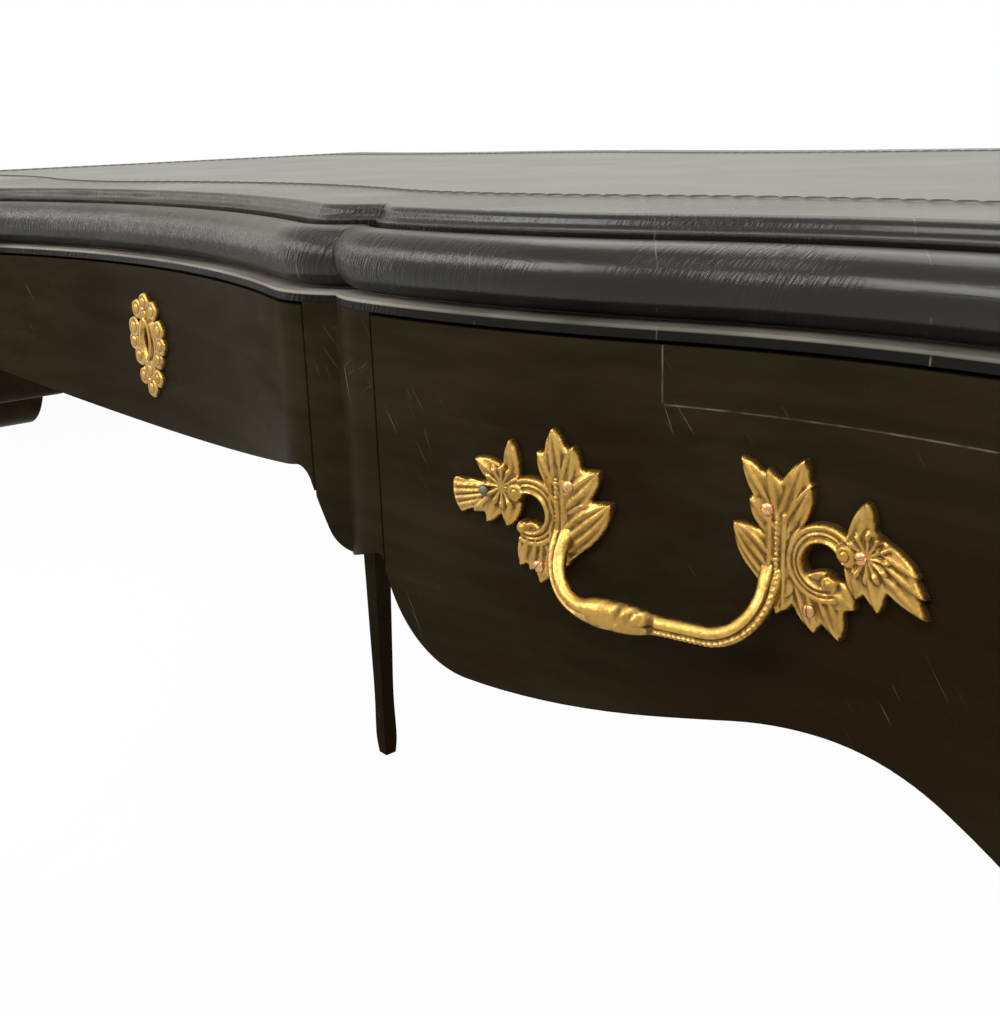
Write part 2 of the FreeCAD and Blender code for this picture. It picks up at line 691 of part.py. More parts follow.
def build_runners():
    inner = runner(PARTITION_INNER_X + PARTITION_THICKNESS, SIDE_BOX_INNER, SIDE_BOX_Z)
    outer = runner(LEG_EAR_X + RUNNER_OUTER, SIDE_BOX_OUTER, SIDE_BOX_Z)
    middle = runner(PARTITION_INNER_X, CENTRE_BOX_OUTER, CENTRE_BOX_Z)
    pair = Part.Compound([inner, outer])
    export(pair, "runners_right")
    export(mirror_x(pair), "runners_left")
    export(Part.Compound([middle, mirror_x(middle)]), "runners_centre")
    stops = [stop(SIDE_BOX_INNER, 1, SIDE_BOX_Z), stop(SIDE_BOX_OUTER, -1, SIDE_BOX_Z)]
    stops.append(stop(CENTRE_BOX_OUTER, -1, CENTRE_BOX_Z))
    stops += [mirror_x(s) for s in stops]
    export(Part.Compound(stops), "drawer_stops")


# Drawers

def drawer_side(x0, x1, z_low):
    """A side board with three dovetails that enter the drawer front."""
    board = block(x0, x1, BOX_REAR_W, FRAME_INNER_W, z_low, BOX_TOP_Z)
    pitch = (BOX_TOP_Z - z_low) / 3
    tails = []
    for i in range(3):
        low = z_low + i * pitch + pitch / 4
        high = low + pitch / 2
        points = [(FRAME_INNER_W, low), (FRAME_INNER_W + TAIL_LENGTH, low - TAIL_SLOPE),
                  (FRAME_INNER_W + TAIL_LENGTH, high + TAIL_SLOPE), (FRAME_INNER_W, high)]
        corners = [vec(x0, w, z) for w, z in points]
        tail = Part.Face(Part.makePolygon(corners + corners[:1]))
        tails.append(tail.extrude(FreeCAD.Vector(x1 - x0, 0, 0)))
    return fuse([board] + tails)


def drawer(x0, x1, box0, box1, z_low):
    """Front, two sides, back and bottom of a drawer between two X planes."""
    bottom_z = z_low + BOTTOM_UP
    lid_z = bottom_z + BOTTOM_THICKNESS
    inner0 = box0 + BOX_WALL
    inner1 = box1 - BOX_WALL
    bottom = block(inner0 - GROOVE_DEPTH, inner1 + GROOVE_DEPTH, BOX_REAR_W, FRAME_INNER_W + GROOVE_DEPTH,
                   bottom_z, lid_z)
    left = drawer_side(box0, inner0, z_low)
    right = drawer_side(inner1, box1, z_low)
    front = frieze_piece(x0, x1, FRIEZE_TOP - DRAWER_TOP_GAP).cut([left, right, bottom])
    back = block(inner0, inner1, BOX_REAR_W, BOX_REAR_W + BOX_WALL, lid_z, BOX_TOP_Z)
    return {"front": front, "left_side": left.cut(bottom), "right_side": right.cut(bottom),
            "back": back, "bottom": bottom}


def swap_sides(pieces):
    swapped = {name: mirror_x(shape) for name, shape in pieces.items()}
    swapped["left_side"] = mirror_x(pieces["right_side"])
    swapped["right_side"] = mirror_x(pieces["left_side"])
    return swapped


def build_drawers():
    right = drawer(POST_OUTER_X + DRAWER_SIDE_GAP, LEG_EAR_X - DRAWER_SIDE_GAP,
                   SIDE_BOX_INNER, SIDE_BOX_OUTER, SIDE_BOX_Z)
    right["front"] = right["front"].cut(pull_holes())
    half = POST_INNER_X - DRAWER_SIDE_GAP
    centre = drawer(-half, half, -CENTRE_BOX_OUTER, CENTRE_BOX_OUTER, CENTRE_BOX_Z)
    centre["front"] = centre["front"].cut([lock_space(), keyhole(), pin_holes()] + lock_screw_holes())
    for side, pieces in (("right", right), ("centre", centre), ("left", swap_sides(right))):
        for name, shape in pieces.items():
            export(shape, "%s_drawer_%s" % (side, name))


# Mounts.
# A plate is a group of flat outlines drawn as (x, z) from the middle of the mount.
# It is raised from the face of the drawer and follows its curve.

# Leaves of the pull: base x and z, tip x and z, width
LEFT_LEAVES = (
    # shell at the outer end
    (-69, 5, -88, 2.5, 9), (-69, 3, -87, -4, 9), (-71, 2, -78.5, -5, 6), (-66.5, 4, -72, -8, 8),
    (-60, 4, -62.5, -8, 9), (-63, 9, -77, 16, 9), (-60, 10, -60.5, 25, 7),
    # upright spray
    (-40, 12, -42, 31.5, 10), (-40.5, 10, -48.5, 22.5, 8), (-38, 9, -33.5, 26, 10), (-38, 5, -23.5, 18, 11),
    (-39, -10, -19, 7, 14),
    # fan at the foot
    (-52, -8, -57, -22, 8), (-49, -9, -52.5, -23, 8), (-45, -10, -48, -27, 10), (-41, -10, -41.5, -23, 8),
)
RIGHT_LEAVES = (
    # upright spray
    (38.5, 14, 26.8, 30.2, 8), (40, 11, 36, 27.5, 8), (42, 13, 48.7, 32, 10), (42, 8, 51.3, 24, 9),
    (40, 8, 29.8, 17, 9), (40, -8, 24.5, 8.3, 13),
    # fan at the foot
    (43, -8, 40.2, -20.5, 8), (48, -8, 54, -24, 10), (55, -8, 62.8, -24.5, 10), (57, -7, 67.5, -13, 9),
    # shell at the outer end
    (67, 6, 70.2, 22.3, 9), (66, 5, 68, -9.5, 8), (70, 5, 75.5, -12.2, 9), (72, 8, 92.5, -11, 15),
)
# C-scrolls: x, z, and the sides of the mouth from there; then discs: x, z, radius
SCROLLS = ((-51.5, -0.5, ((-20, 22), (-34, -2), (-13, -27))), (56, -0.3, ((25, 16), (34, -8), (12.7, -27))))
SCROLL_RADIUS = 9.6
SCROLL_WIDTH = 6.8
SHELLS = ((-64, 7, 7), (71, 5, 7))
CURLS = ((-57.5, 6.2, 3.6), (-54.6, -6.5, 2.7), (63.8, 4.7, 3.5), (58.7, -6, 2.7))
STEMS = (-40.5, 40.0)
STEM_REACH = (-18.0, 13.0)
STEM_WIDTH = 8.0
PULL_SCREWS = ((-35.4, 11.4), (-48.4, -20.2), (-71.9, 4.5), (36.6, 14.2), (52.0, -16.4), (69.1, 4.5))
BAIL_HALF = 38.5                   # half of the width of the bail at its ends
BAIL_TOP = -8.0
BAIL_LOW = -28.0                   # middle of the bail's lowest stretch
BAIL_BEND = 17.0

# Petals of the escutcheon: x, z, radius
PETALS = (
    (0, 23.5, 5.5), (-9, 19.5, 5.5), (9, 19.5, 5.5), (0, 17, 6), (-14.5, 9, 6), (14.5, 9, 6), (-15.5, 1, 5.5),
    (15.5, 1, 5.5), (-11, -7, 5.5), (11, -7, 5.5), (0, -14, 6), (-8.5, -18, 5), (8.5, -18, 5), (0, -24, 5.5),
)
OVAL = (27.0, 34.0)                # width and height of its middle
PIN_SPOTS = (20.0, -19.5)

PULL_X = (POST_OUTER_X + LEG_EAR_X) / 2 - PULL_SHIFT
PULL_Z = FRIEZE_TOP - PULL_DROP
ESCUTCHEON_Z = FRIEZE_TOP - ESCUTCHEON_DROP

INWARD = FreeCAD.Vector(0, 1, 0)


def upright(x, z):
    return FreeCAD.Vector(x, 0, z)


def outline(points):
    corners = [upright(*p) for p in points]
    return Part.Face(Part.makePolygon(corners + corners[:1]))


def leaf(base_x, base_z, tip_x, tip_z, width):
    """A pointed leaf between two arcs, widest nearer its base."""
    base = upright(base_x, base_z)
    tip = upright(tip_x, tip_z)
    across = (tip - base).cross(INWARD).normalize()
    belly = base + (tip - base) * 0.42
    sides = [Part.Arc(base, belly + across * (width / 2), tip).toShape(),
             Part.Arc(tip, belly - across * (width / 2), base).toShape()]
    return Part.Face(Part.Wire(sides))


def disc(x, z, radius):
    return Part.Face(Part.Wire([Part.makeCircle(radius, upright(x, z), INWARD)]))


def c_scroll(x, z, mouth):
    """A band round a centre, open between the two sides of its mouth."""
    ring = disc(x, z, SCROLL_RADIUS + SCROLL_WIDTH / 2).cut(disc(x, z, SCROLL_RADIUS - SCROLL_WIDTH / 2))
    return ring.cut(outline([(x, z)] + [(x + dx, z + dz) for dx, dz in mouth]))


def stem(x):
    low, high = STEM_REACH
    half = STEM_WIDTH / 2
    return outline([(x - half, low), (x + half, low), (x + half, high), (x - half, high)])


def behind_face(strokes, out):
    """Everything behind a stretch of the frieze face that is moved outwards."""
    moved = [offset_stroke(s, out) for s in strokes]
    edges = [stroke_edge(s, vec) for s in moved]
    first = moved[0][0]
    last, _ = stroke_end(moved[-1])
    corners = [vec(*first), vec(first[0], 0), vec(last[0], 0), vec(*last)]
    edges += [Part.LineSegment(a, b).toShape() for a, b in zip(corners, corners[1:])]
    return Part.Face(Part.Wire(Part.__sortEdges__(edges))).extrude(UP * HEIGHT)


def behind_bay(out):
    return behind_face(SIDE.strokes[:4], out)


def behind_centre(out):
    half = behind_face(CENTRE.strokes[:1], out)
    return fuse([half, mirror_x(half)])


def plate(outlines, middle, proud, behind):
    """Outlines raised to a height over the frieze face and seated on it."""
    solids = []
    for flat in outlines:
        face = flat.copy()
        face.translate(middle)
        solids.append(face.extrude(INWARD * -FAR))
    return fuse(solids).common(behind(proud)).cut(behind(0))


def face_w(x, behind, proud):
    """How far to the front the face stands at an X, with a plate of that height on it."""
    probe = Part.makeLine(vec(x, 0, FRIEZE_TOP), vec(x, FAR, FRIEZE_TOP))
    return max(-v.Y for v in probe.common(behind(proud)).Vertexes)


def bail():
    """The bow between the plates: two bends and a level stretch, in a plane that leans outwards."""
    half = BAIL_HALF
    left_w = face_w(PULL_X - half, behind_bay, PLATE_PROUD)
    right_w = face_w(PULL_X + half, behind_bay, PLATE_PROUD)

    def at(x, z):
        seat = left_w + (right_w - left_w) * (x + half) / (2 * half)
        lean = (z - BAIL_TOP) / (BAIL_LOW - BAIL_TOP)
        return vec(PULL_X + x, seat + BAIL_PROUD * lean, PULL_Z + z)

    top = BAIL_TOP
    low = BAIL_LOW
    bend = BAIL_BEND
    k = bend * (1 - sqrt(0.5))
    edges = [
        Part.LineSegment(at(-half, top), at(-half, low + bend)),
        Part.Arc(at(-half, low + bend), at(-half + k, low + k), at(-half + bend, low)),
        Part.LineSegment(at(-half + bend, low), at(half - bend, low)),
        Part.Arc(at(half - bend, low), at(half - k, low + k), at(half, low + bend)),
        Part.LineSegment(at(half, low + bend), at(half, top)),
    ]
    path = Part.Wire([e.toShape() for e in edges])
    section = Part.Wire([Part.makeCircle(BAIL_RADIUS, at(-half, top), at(-half, low) - at(-half, top))])
    return path.makePipeShell([section], True, False)


def pull():
    middle = upright(PULL_X, PULL_Z)
    flat = [leaf(*row) for row in LEFT_LEAVES + RIGHT_LEAVES] + [disc(*row) for row in SHELLS]
    raised = [c_scroll(*row) for row in SCROLLS] + [stem(x) for x in STEMS] + [disc(*row) for row in CURLS]
    leaves = plate(flat, middle, PLATE_PROUD, behind_bay)
    scrolls = plate(raised, middle, SCROLL_PROUD, behind_bay)
    bow = bail().cut(behind_bay(0))
    whole = fuse([leaves, scrolls, bow])
    return whole.cut(pull_holes() + head_spaces(pull_screw_seats(), PULL_SCREW_HEAD))


def pull_screw_seats():
    half = PULL_SCREW_HEAD / 2
    for x, z in PULL_SCREWS:
        rim = [face_w(PULL_X + x + side, behind_bay, PLATE_PROUD) for side in (-half, half)]
        yield vec(PULL_X + x, min(rim), PULL_Z + z)


def pull_holes():
    return [screw_hole(seat, INWARD, PULL_SCREW_SHANK, PULL_SCREW_LENGTH) for seat in pull_screw_seats()]


def head_spaces(seats, head):
    """Flat seats for screw heads."""
    return [Part.makeCylinder(head / 2 + SCREW_CLEARANCE, FAR, seat, INWARD * -1) for seat in seats]


def pull_screws():
    height = PULL_SCREW_HEAD / 3
    return [screw(seat, INWARD, PULL_SCREW_SHANK, PULL_SCREW_HEAD, height, PULL_SCREW_LENGTH)
            for seat in pull_screw_seats()]


def oval():
    width, height = OVAL
    top = upright(0, height / 2)
    low = upright(0, -height / 2)
    sides = [Part.Arc(top, upright(width / 2, 0), low).toShape(),
             Part.Arc(low, upright(-width / 2, 0), top).toShape()]
    return Part.Face(Part.Wire(sides))


KEY_Z = ESCUTCHEON_Z + KEYHOLE_DROP - KEYHOLE_RADIUS


def keyhole():
    """The opening for the key, from the front wall of the lock case outwards."""
    inner_w = FRAME_INNER_W + LOCK_DEPTH - 2 * LOCK_WALL
    barrel = Part.makeCylinder(KEYHOLE_RADIUS, FAR, vec(0, inner_w, KEY_Z), INWARD * -1)
    slot = block(-KEYHOLE_SLOT / 2, KEYHOLE_SLOT / 2, inner_w, inner_w + FAR, KEY_Z - KEYHOLE_DROP, KEY_Z)
    return fuse([barrel, slot])


def pin_seats():
    seat_w = face_w(0, behind_centre, ESCUTCHEON_PROUD)
    return [vec(0, seat_w, ESCUTCHEON_Z + z) for z in PIN_SPOTS]


def pin_holes():
    return fuse([screw_hole(seat, INWARD, 2 * PIN_RADIUS, PIN_LENGTH) for seat in pin_seats()])


def pins():
    shank = 2 * PIN_RADIUS
    return [screw(seat, INWARD, shank, 2 * shank, PIN_RADIUS, PIN_LENGTH) for seat in pin_seats()]


def escutcheon():
    outlines = [oval()] + [disc(*petal) for petal in PETALS]
    solid = plate(outlines, upright(0, ESCUTCHEON_Z), ESCUTCHEON_PROUD, behind_centre)
    return solid.cut([keyhole(), pin_holes()])


# Lock, let into the back of the centre drawer front

LOCK_TOP = FRIEZE_TOP - DRAWER_TOP_GAP
LOCK_LOW = LOCK_TOP - LOCK_HEIGHT
LOCK_FRONT_W = FRAME_INNER_W + LOCK_DEPTH


def lock_space():
    return block(-LOCK_WIDTH / 2, LOCK_WIDTH / 2, FRAME_INNER_W, LOCK_FRONT_W, LOCK_LOW, LOCK_TOP)


def lock_screw_seats():
    x = LOCK_WIDTH / 2 - SCREW_HEAD / 2
    heights = (LOCK_LOW + SCREW_HEAD, LOCK_TOP - SCREW_HEAD)
    return [vec(sx * x, FRAME_INNER_W, z) for sx in (-1, 1) for z in heights]


def lock_screw_holes():
    length = LOCK_DEPTH + LOCK_SCREW_BITE
    return [screw_hole(seat, INWARD * -1, SCREW_SHANK, length) for seat in lock_screw_seats()]


def bolt_space(clearance):
    """The channel of the bolt, open at the top of the lock case."""
    half = BOLT_WIDTH / 2 + clearance
    mid_w = FRAME_INNER_W + LOCK_DEPTH / 2
    depth = BOLT_THICKNESS / 2 + clearance
    return block(-half, half, mid_w - depth, mid_w + depth, LOCK_LOW + LOCK_WALL, LOCK_TOP)


def build_mounts():
    case = lock_space().cut([bolt_space(BOLT_CLEARANCE), keyhole()] + lock_screw_holes())
    bolt_top = block(-LOCK_WIDTH, LOCK_WIDTH, 0, FAR, LOCK_TOP - BOLT_REST, HEIGHT)
    export(case, "lock_case")
    export(bolt_space(0).cut(bolt_top), "lock_bolt")
    length = LOCK_DEPTH + LOCK_SCREW_BITE
    screws = [screw(seat, INWARD * -1, SCREW_SHANK, SCREW_HEAD, SCREW_HEAD_HEIGHT, length)
              for seat in lock_screw_seats()]
    export(Part.Compound(screws), "lock_screws")

    handle = pull()
    handle_screws = Part.Compound(pull_screws())
    shield = escutcheon()
    shield_pins = Part.Compound(pins())
    export(handle, "pull_right")
    export(mirror_x(handle), "pull_left")
    export(mirror_y(handle), "pull_back_right")
    export(mirror_x(mirror_y(handle)), "pull_back_left")
    export(handle_screws, "pull_screws_right")
    export(mirror_x(handle_screws), "pull_screws_left")
    export(shield, "escutcheon")
    export(shield_pins, "escutcheon_pins")
    export(mirror_y(shield), "escutcheon_back")
    back = [mirror_y(shape) for shape in (handle_screws, mirror_x(handle_screws), shield_pins)]
    export(Part.Compound(back), "mount_screws_back")


build_top()
build_carcass()
build_runners()
build_drawers()
build_mounts()
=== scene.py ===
"""Looks of the serpentine writing table: finishes, chased brass mounts, tooled leather, light and camera."""
import json
from math import cos, pi, radians, sin

import bpy
import numpy as np
from mathutils import Matrix, Vector
from mathutils.bvhtree import BVHTree


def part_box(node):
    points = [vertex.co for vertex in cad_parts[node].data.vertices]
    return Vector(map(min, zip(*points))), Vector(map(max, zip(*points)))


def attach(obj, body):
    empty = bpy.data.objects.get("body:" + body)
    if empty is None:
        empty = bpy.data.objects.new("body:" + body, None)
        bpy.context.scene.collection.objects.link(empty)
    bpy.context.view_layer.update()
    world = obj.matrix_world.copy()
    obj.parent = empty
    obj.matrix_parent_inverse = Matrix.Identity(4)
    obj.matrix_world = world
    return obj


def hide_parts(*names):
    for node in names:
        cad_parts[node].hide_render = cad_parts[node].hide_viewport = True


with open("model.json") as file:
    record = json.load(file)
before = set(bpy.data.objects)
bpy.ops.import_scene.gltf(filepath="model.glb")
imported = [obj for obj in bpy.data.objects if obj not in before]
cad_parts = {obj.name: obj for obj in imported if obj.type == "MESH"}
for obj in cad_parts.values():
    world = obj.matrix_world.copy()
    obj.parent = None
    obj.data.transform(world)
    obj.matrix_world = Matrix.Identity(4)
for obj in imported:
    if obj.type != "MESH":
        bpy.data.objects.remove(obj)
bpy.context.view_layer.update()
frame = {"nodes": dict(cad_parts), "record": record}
NODES = frame["nodes"]
MM = 0.001

# Camera of the photograph: place in metres, turns in degrees, focal length in pixels of a 1000 by 1016 image
CAMERA_AT = Vector((0.677285, -0.620833, 0.811796))
CAMERA_YAW = 50.199
CAMERA_PITCH = 16.603
CAMERA_ROLL = -1.924
CAMERA_FOCUS = 1302.316
IMAGE_LONG_SIDE = 1016
SENSOR = 36.0

# Mounts in millimetres: x and z of their middles, reach of the front that is measured to each side of it
PULL_AT = (394.0, 678.0)
PULL_REACH = 108.0
ESCUTCHEON_AT = (0.0, 698.0)
ESCUTCHEON_REACH = 40.0
# Fronts: number of points measured, how far below a mount's middle, degree of the curve through them
FACE_POINTS = 41
FACE_DROP = 25.0
FACE_DEGREE = 6
# Angles in degrees over which an edge stays sharp, for the mounts and for all else
MOUNT_SHARP = 45
SHARP = 30

# Reliefs: lowest and highest x, lowest and highest z and step of their grids; width of the web in the corners
# between leaves, fall of the heights outside an element for each millimetre
PLATE_GRID = (-93, 97, -31, 36, 0.4)
ESCUTCHEON_GRID = (-23, 23, -32, 31, 0.33)
HEAD_STEP = 0.16
LEAF_WEB = 2.2
WEB_SLOPE = 1.1

# Leaves of the pull: share of their length where they are widest; base x and z, tip x and z, width, veins
LEAF_BELLY = 0.3
LEAVES = (
    # left shell and its leaflets
    (-71, 2, -78.5, -5, 6, 1), (-66.5, 4, -72, -8, 8, 1), (-60, 4, -62.5, -8, 9, 1), (-63, 9, -77, 16, 9, 1),
    (-60, 10, -60.5, 25, 7, 1),
    # left upright spray
    (-40.5, 10, -48.5, 22.5, 8, 1), (-38, 5, -23.5, 18, 11, 2), (-38, 9, -33.5, 26, 10, 2),
    (-40, 12, -42, 31.5, 10, 2), (-39, -10, -19, 7, 14, 3),
    # left foot
    (-52, -8, -57, -22, 8, 1), (-49, -9, -52.5, -23, 8, 1), (-41, -10, -41.5, -23, 8, 1),
    (-45, -10, -48, -27, 10, 2),
    # right upright spray
    (38.5, 14, 26.8, 30.2, 8, 1), (40, 8, 29.8, 17, 9, 1), (42, 8, 51.3, 24, 9, 2), (42, 13, 48.7, 32, 10, 2),
    (40, 11, 36, 27.5, 8, 1), (40, -8, 24.5, 8.3, 13, 3),
    # right foot
    (43, -8, 40.2, -20.5, 8, 1), (57, -7, 67.5, -13, 9, 1), (48, -8, 54, -24, 10, 2),
    (55, -8, 62.8, -24.5, 10, 2),
    # right shell and its feathers
    (67, 6, 70.2, 22.3, 9, 1), (66, 5, 68, -9.5, 8, 1), (70, 5, 75.5, -12.2, 9, 1),
    (71, 5, 91.5, -10.3, 8, 1), (72, 7, 91, -4, 7, 1), (72, 9, 88, 2.2, 7, 1),
)
# Fan at the pull's left end: base x and z, end x and z, width there, flutes
FAN = (-66, 5, -89.5, -0.5, 14.5, 5)
# C-scrolls: x, z and the two ends of the band as directions; radius and width of the band
SCROLLS = ((-51.5, -0.5, (-20, 22), (-13, -27)), (56, -0.3, (25, 16), (12.7, -27)))
SCROLL_RADIUS = 9.6
SCROLL_WIDTH = 6.8
# Rolls across a scroll: rise, place and half width, the last two as shares of half the scroll's width
SCROLL_ROLLS = ((2.0, -0.58, 0.30), (0.9, 0.03, 0.16), (0.8, 0.62, 0.30))
# Shells and curls: x, z, radius; ribs of a shell
SHELLS = ((-64, 7, 7), (71, 5, 7))
SHELL_RIBS = 12
CURLS = ((-57.5, 6.2, 3.6), (-54.6, -6.5, 2.7), (63.8, 4.7, 3.5), (58.7, -6, 2.7))
# Stems: x of each, lowest and highest z, half width, radius of the beads
STEMS = (-40.5, 40.0)
STEM_LOW = -18.0
STEM_HIGH = 13.0
STEM_HALF = 4.0
STEM_BEAD = 0.85
# Round heads: x and z of each, height of the seat, radius, turn of the first slot and from each to the next;
# rise of the dome, depth and half width of the slot
SCREWS = ((-35.4, 11.4), (-48.4, -20.2), (36.6, 14.2), (52.0, -16.4), (69.1, 4.5))
SCREW_SEAT = 3.5
SCREW_RADIUS = 2.3
SCREW_TURN = 0.6
SCREW_TURN_STEP = 1.9
NAIL = (-71.9, 4.5)
NAIL_SEAT = 4.0
NAIL_RADIUS = 2.1
HEAD_DOME = 1.5
SLOT_DEEP = 0.6
SLOT_HALF = 0.42
# Bail: half its span, height where it leaves the plates, reach of its roots over that, height of its low run,
# radius of its bends, how far it stands out where it leaves the plates and how much more at its low run,
# half its width and thickness, step along it, sides of its section
BAIL_HALF = 38.5
BAIL_TOP = -8.0
BAIL_ROOT = 16.0
BAIL_LOW = -28.0
BAIL_BEND = 17.0
BAIL_SEAT = 3.6
BAIL_PROUD = 10.5
BAIL_WIDE = 3.5
BAIL_THICK = 2.7
BAIL_STEP = 0.45
BAIL_SIDES = 32
# Bail: shares of its length over which its roots flare, narrow and thin; pitch of its beads; place and half
# width of its ruffled leaf; place of the notch at the end of that leaf
FLARE_END = 0.24
NARROW_END = 0.09
THIN_END = 0.13
BEAD_PITCH = 1.75
RUFFLE_AT = -11.0
RUFFLE_HALF = 11.5
NOTCH_AT = 2.5

# Rope line of the leather: length of a strand, steps along it, inset from the edge, width, rise, drop of the
# outermost row of points, insets of the rows
ROPE_PITCH = 10.0
ROPE_STEPS = 12
ROPE_IN = 1.2
ROPE_WIDTH = 4.2
ROPE_RISE = 1.0
ROPE_EDGE_DROP = 0.35
ROPE_ROWS = (0.0, 0.6, 1.2, 1.8, 2.5, 3.3, 4.1, 4.8, 5.4, 6.2)

# Escutcheon: half width and half height of its shield; x, z and radius of its petals
SHIELD_WIDE = 13.5
SHIELD_TALL = 17.0
PETALS = (
    (-14.5, 9, 6), (14.5, 9, 6), (-15.5, 1, 5.5), (15.5, 1, 5.5), (-11, -7, 5.5), (11, -7, 5.5), (0, -14, 6),
    (-8.5, -18, 5), (8.5, -18, 5), (0, -24, 5.5), (-9, 19.5, 5.5), (9, 19.5, 5.5), (0, 17, 6), (0, 23.5, 5.5),
)
# Pointed eye round the keyhole: height of its middle, half height, half width, width of its rim
EYE_AT = 3.5
EYE_TALL = 9.0
EYE_WIDE = 3.3
EYE_RIM = 3.2
# Pins: z of each, height of the seat, radius
PINS = (20.0, -19.5)
PIN_SEAT = 2.4
PIN_RADIUS = 1.5

# Wood in millimetres: rounding of the corners, seams on the bays, sizes of grain, pores, rubs and scratches;
# slant of the rubs in degrees
CORNER_RADIUS = 0.9
SEAM_X = 392.0
SEAM_Z = 721.0
SEAM_HALF = 0.4
BAYS = ("left_drawer_front", "right_drawer_front", "back_panel_left", "back_panel_right")
GRAIN_CELL = (160, 11, 11)
PORE_CELL = (16, 1.4, 1.4)
RUB_CELL = (1.2, 16, 16)
RUB_SLANT = 24
SCRATCH_CELL = (34, 34, 0.8)
OAK_GRAIN_CELL = (16, 240, 16)
OAK_PORE_CELL = (2, 55, 2)
# Scratches: slant in degrees, density; cracks across the edge for each metre of it
FACE_SCRATCHES = ((56, 0.03), (71, -0.02), (-28, -0.07))
EDGE_SCRATCHES = (48, 0.0)
CRACKS = 11.0
# Cells of the hide's grain for each metre
HIDE_CELLS = 520.0

# Polish: roughness, strength of the gloss, depth of the rubs, weight and roughness of the edge's coat
FACE_ROUGH = 0.30
FACE_SHINE = 0.006
EDGE_ROUGH = 0.36
EDGE_SHINE = 0.05
EDGE_RUB = 0.8
EDGE_COAT = 0.5
EDGE_COAT_ROUGH = 0.2

# Colours of the finishes
POLISH_TINT = (1.0, 0.97, 0.90)
FACE_COLOURS = ((0.0148, 0.0104, 0.0050), (0.0235, 0.0183, 0.0088))
EDGE_COLOURS = ((0.006, 0.0055, 0.0045), (0.011, 0.010, 0.0075))
WORN = (0.17, 0.155, 0.12)
STAIN = (0.0100, 0.0050, 0.0024)
LEATHER_COLOURS = ((0.020, 0.018, 0.016), (0.040, 0.036, 0.030))
ROPE_COLOUR = (0.004, 0.0035, 0.003)
GOLD_COLOURS = ((0.54, 0.33, 0.085), (0.40, 0.225, 0.048))
PATINA = (0.085, 0.042, 0.011)
SCREW_COLOURS = ((0.62, 0.36, 0.17), (0.48, 0.26, 0.11))
IRON_COLOURS = ((0.16, 0.15, 0.125), (0.10, 0.092, 0.075))
STEEL_COLOURS = ((0.42, 0.41, 0.40), (0.30, 0.29, 0.28))
OAK_COLOURS = ((0.42, 0.27, 0.13), (0.26, 0.15, 0.065))
OAK_PORES = (0.12, 0.065, 0.03)

# Painted highlight on the lip of the listel under the torus: how far its top lies under the table's top, its
# height, the pale colour painted there as a highlight
LIP_DROP = 33.3
LIP_TALL = 1.7
LIP_HIGHLIGHT = (0.42, 0.39, 0.32)

# Room: faint warmth and strength of its light; half size, grey, roughness and glow of its floor
ROOM_TINT = (1.0, 0.98, 0.915)
ROOM_LIGHT = 0.45
FLOOR_HALF = 14.0
FLOOR_GREY = 0.9
FLOOR_ROUGH = 0.9
FLOOR_GLOW = 0.93
# Lamps: name, place and aim in metres, width and height, power in watts
LAMPS = (
    ("key", (0.9, -1.6, 2.6), (0.2, 0.0, 0.6), (1.8, 1.2), 40),
    ("ceiling", (-0.6, 0.9, 2.8), (0.0, 0.0, 0.7), (2.4, 1.6), 34),
    ("window", (-2.2, -0.8, 1.25), (0.25, -0.3, 0.7), (0.4, 1.5), 6),
    ("front", (-1.2, -2.4, 1.9), (0.3, -0.3, 0.75), (1.4, 0.9), 38),
)


# Materials

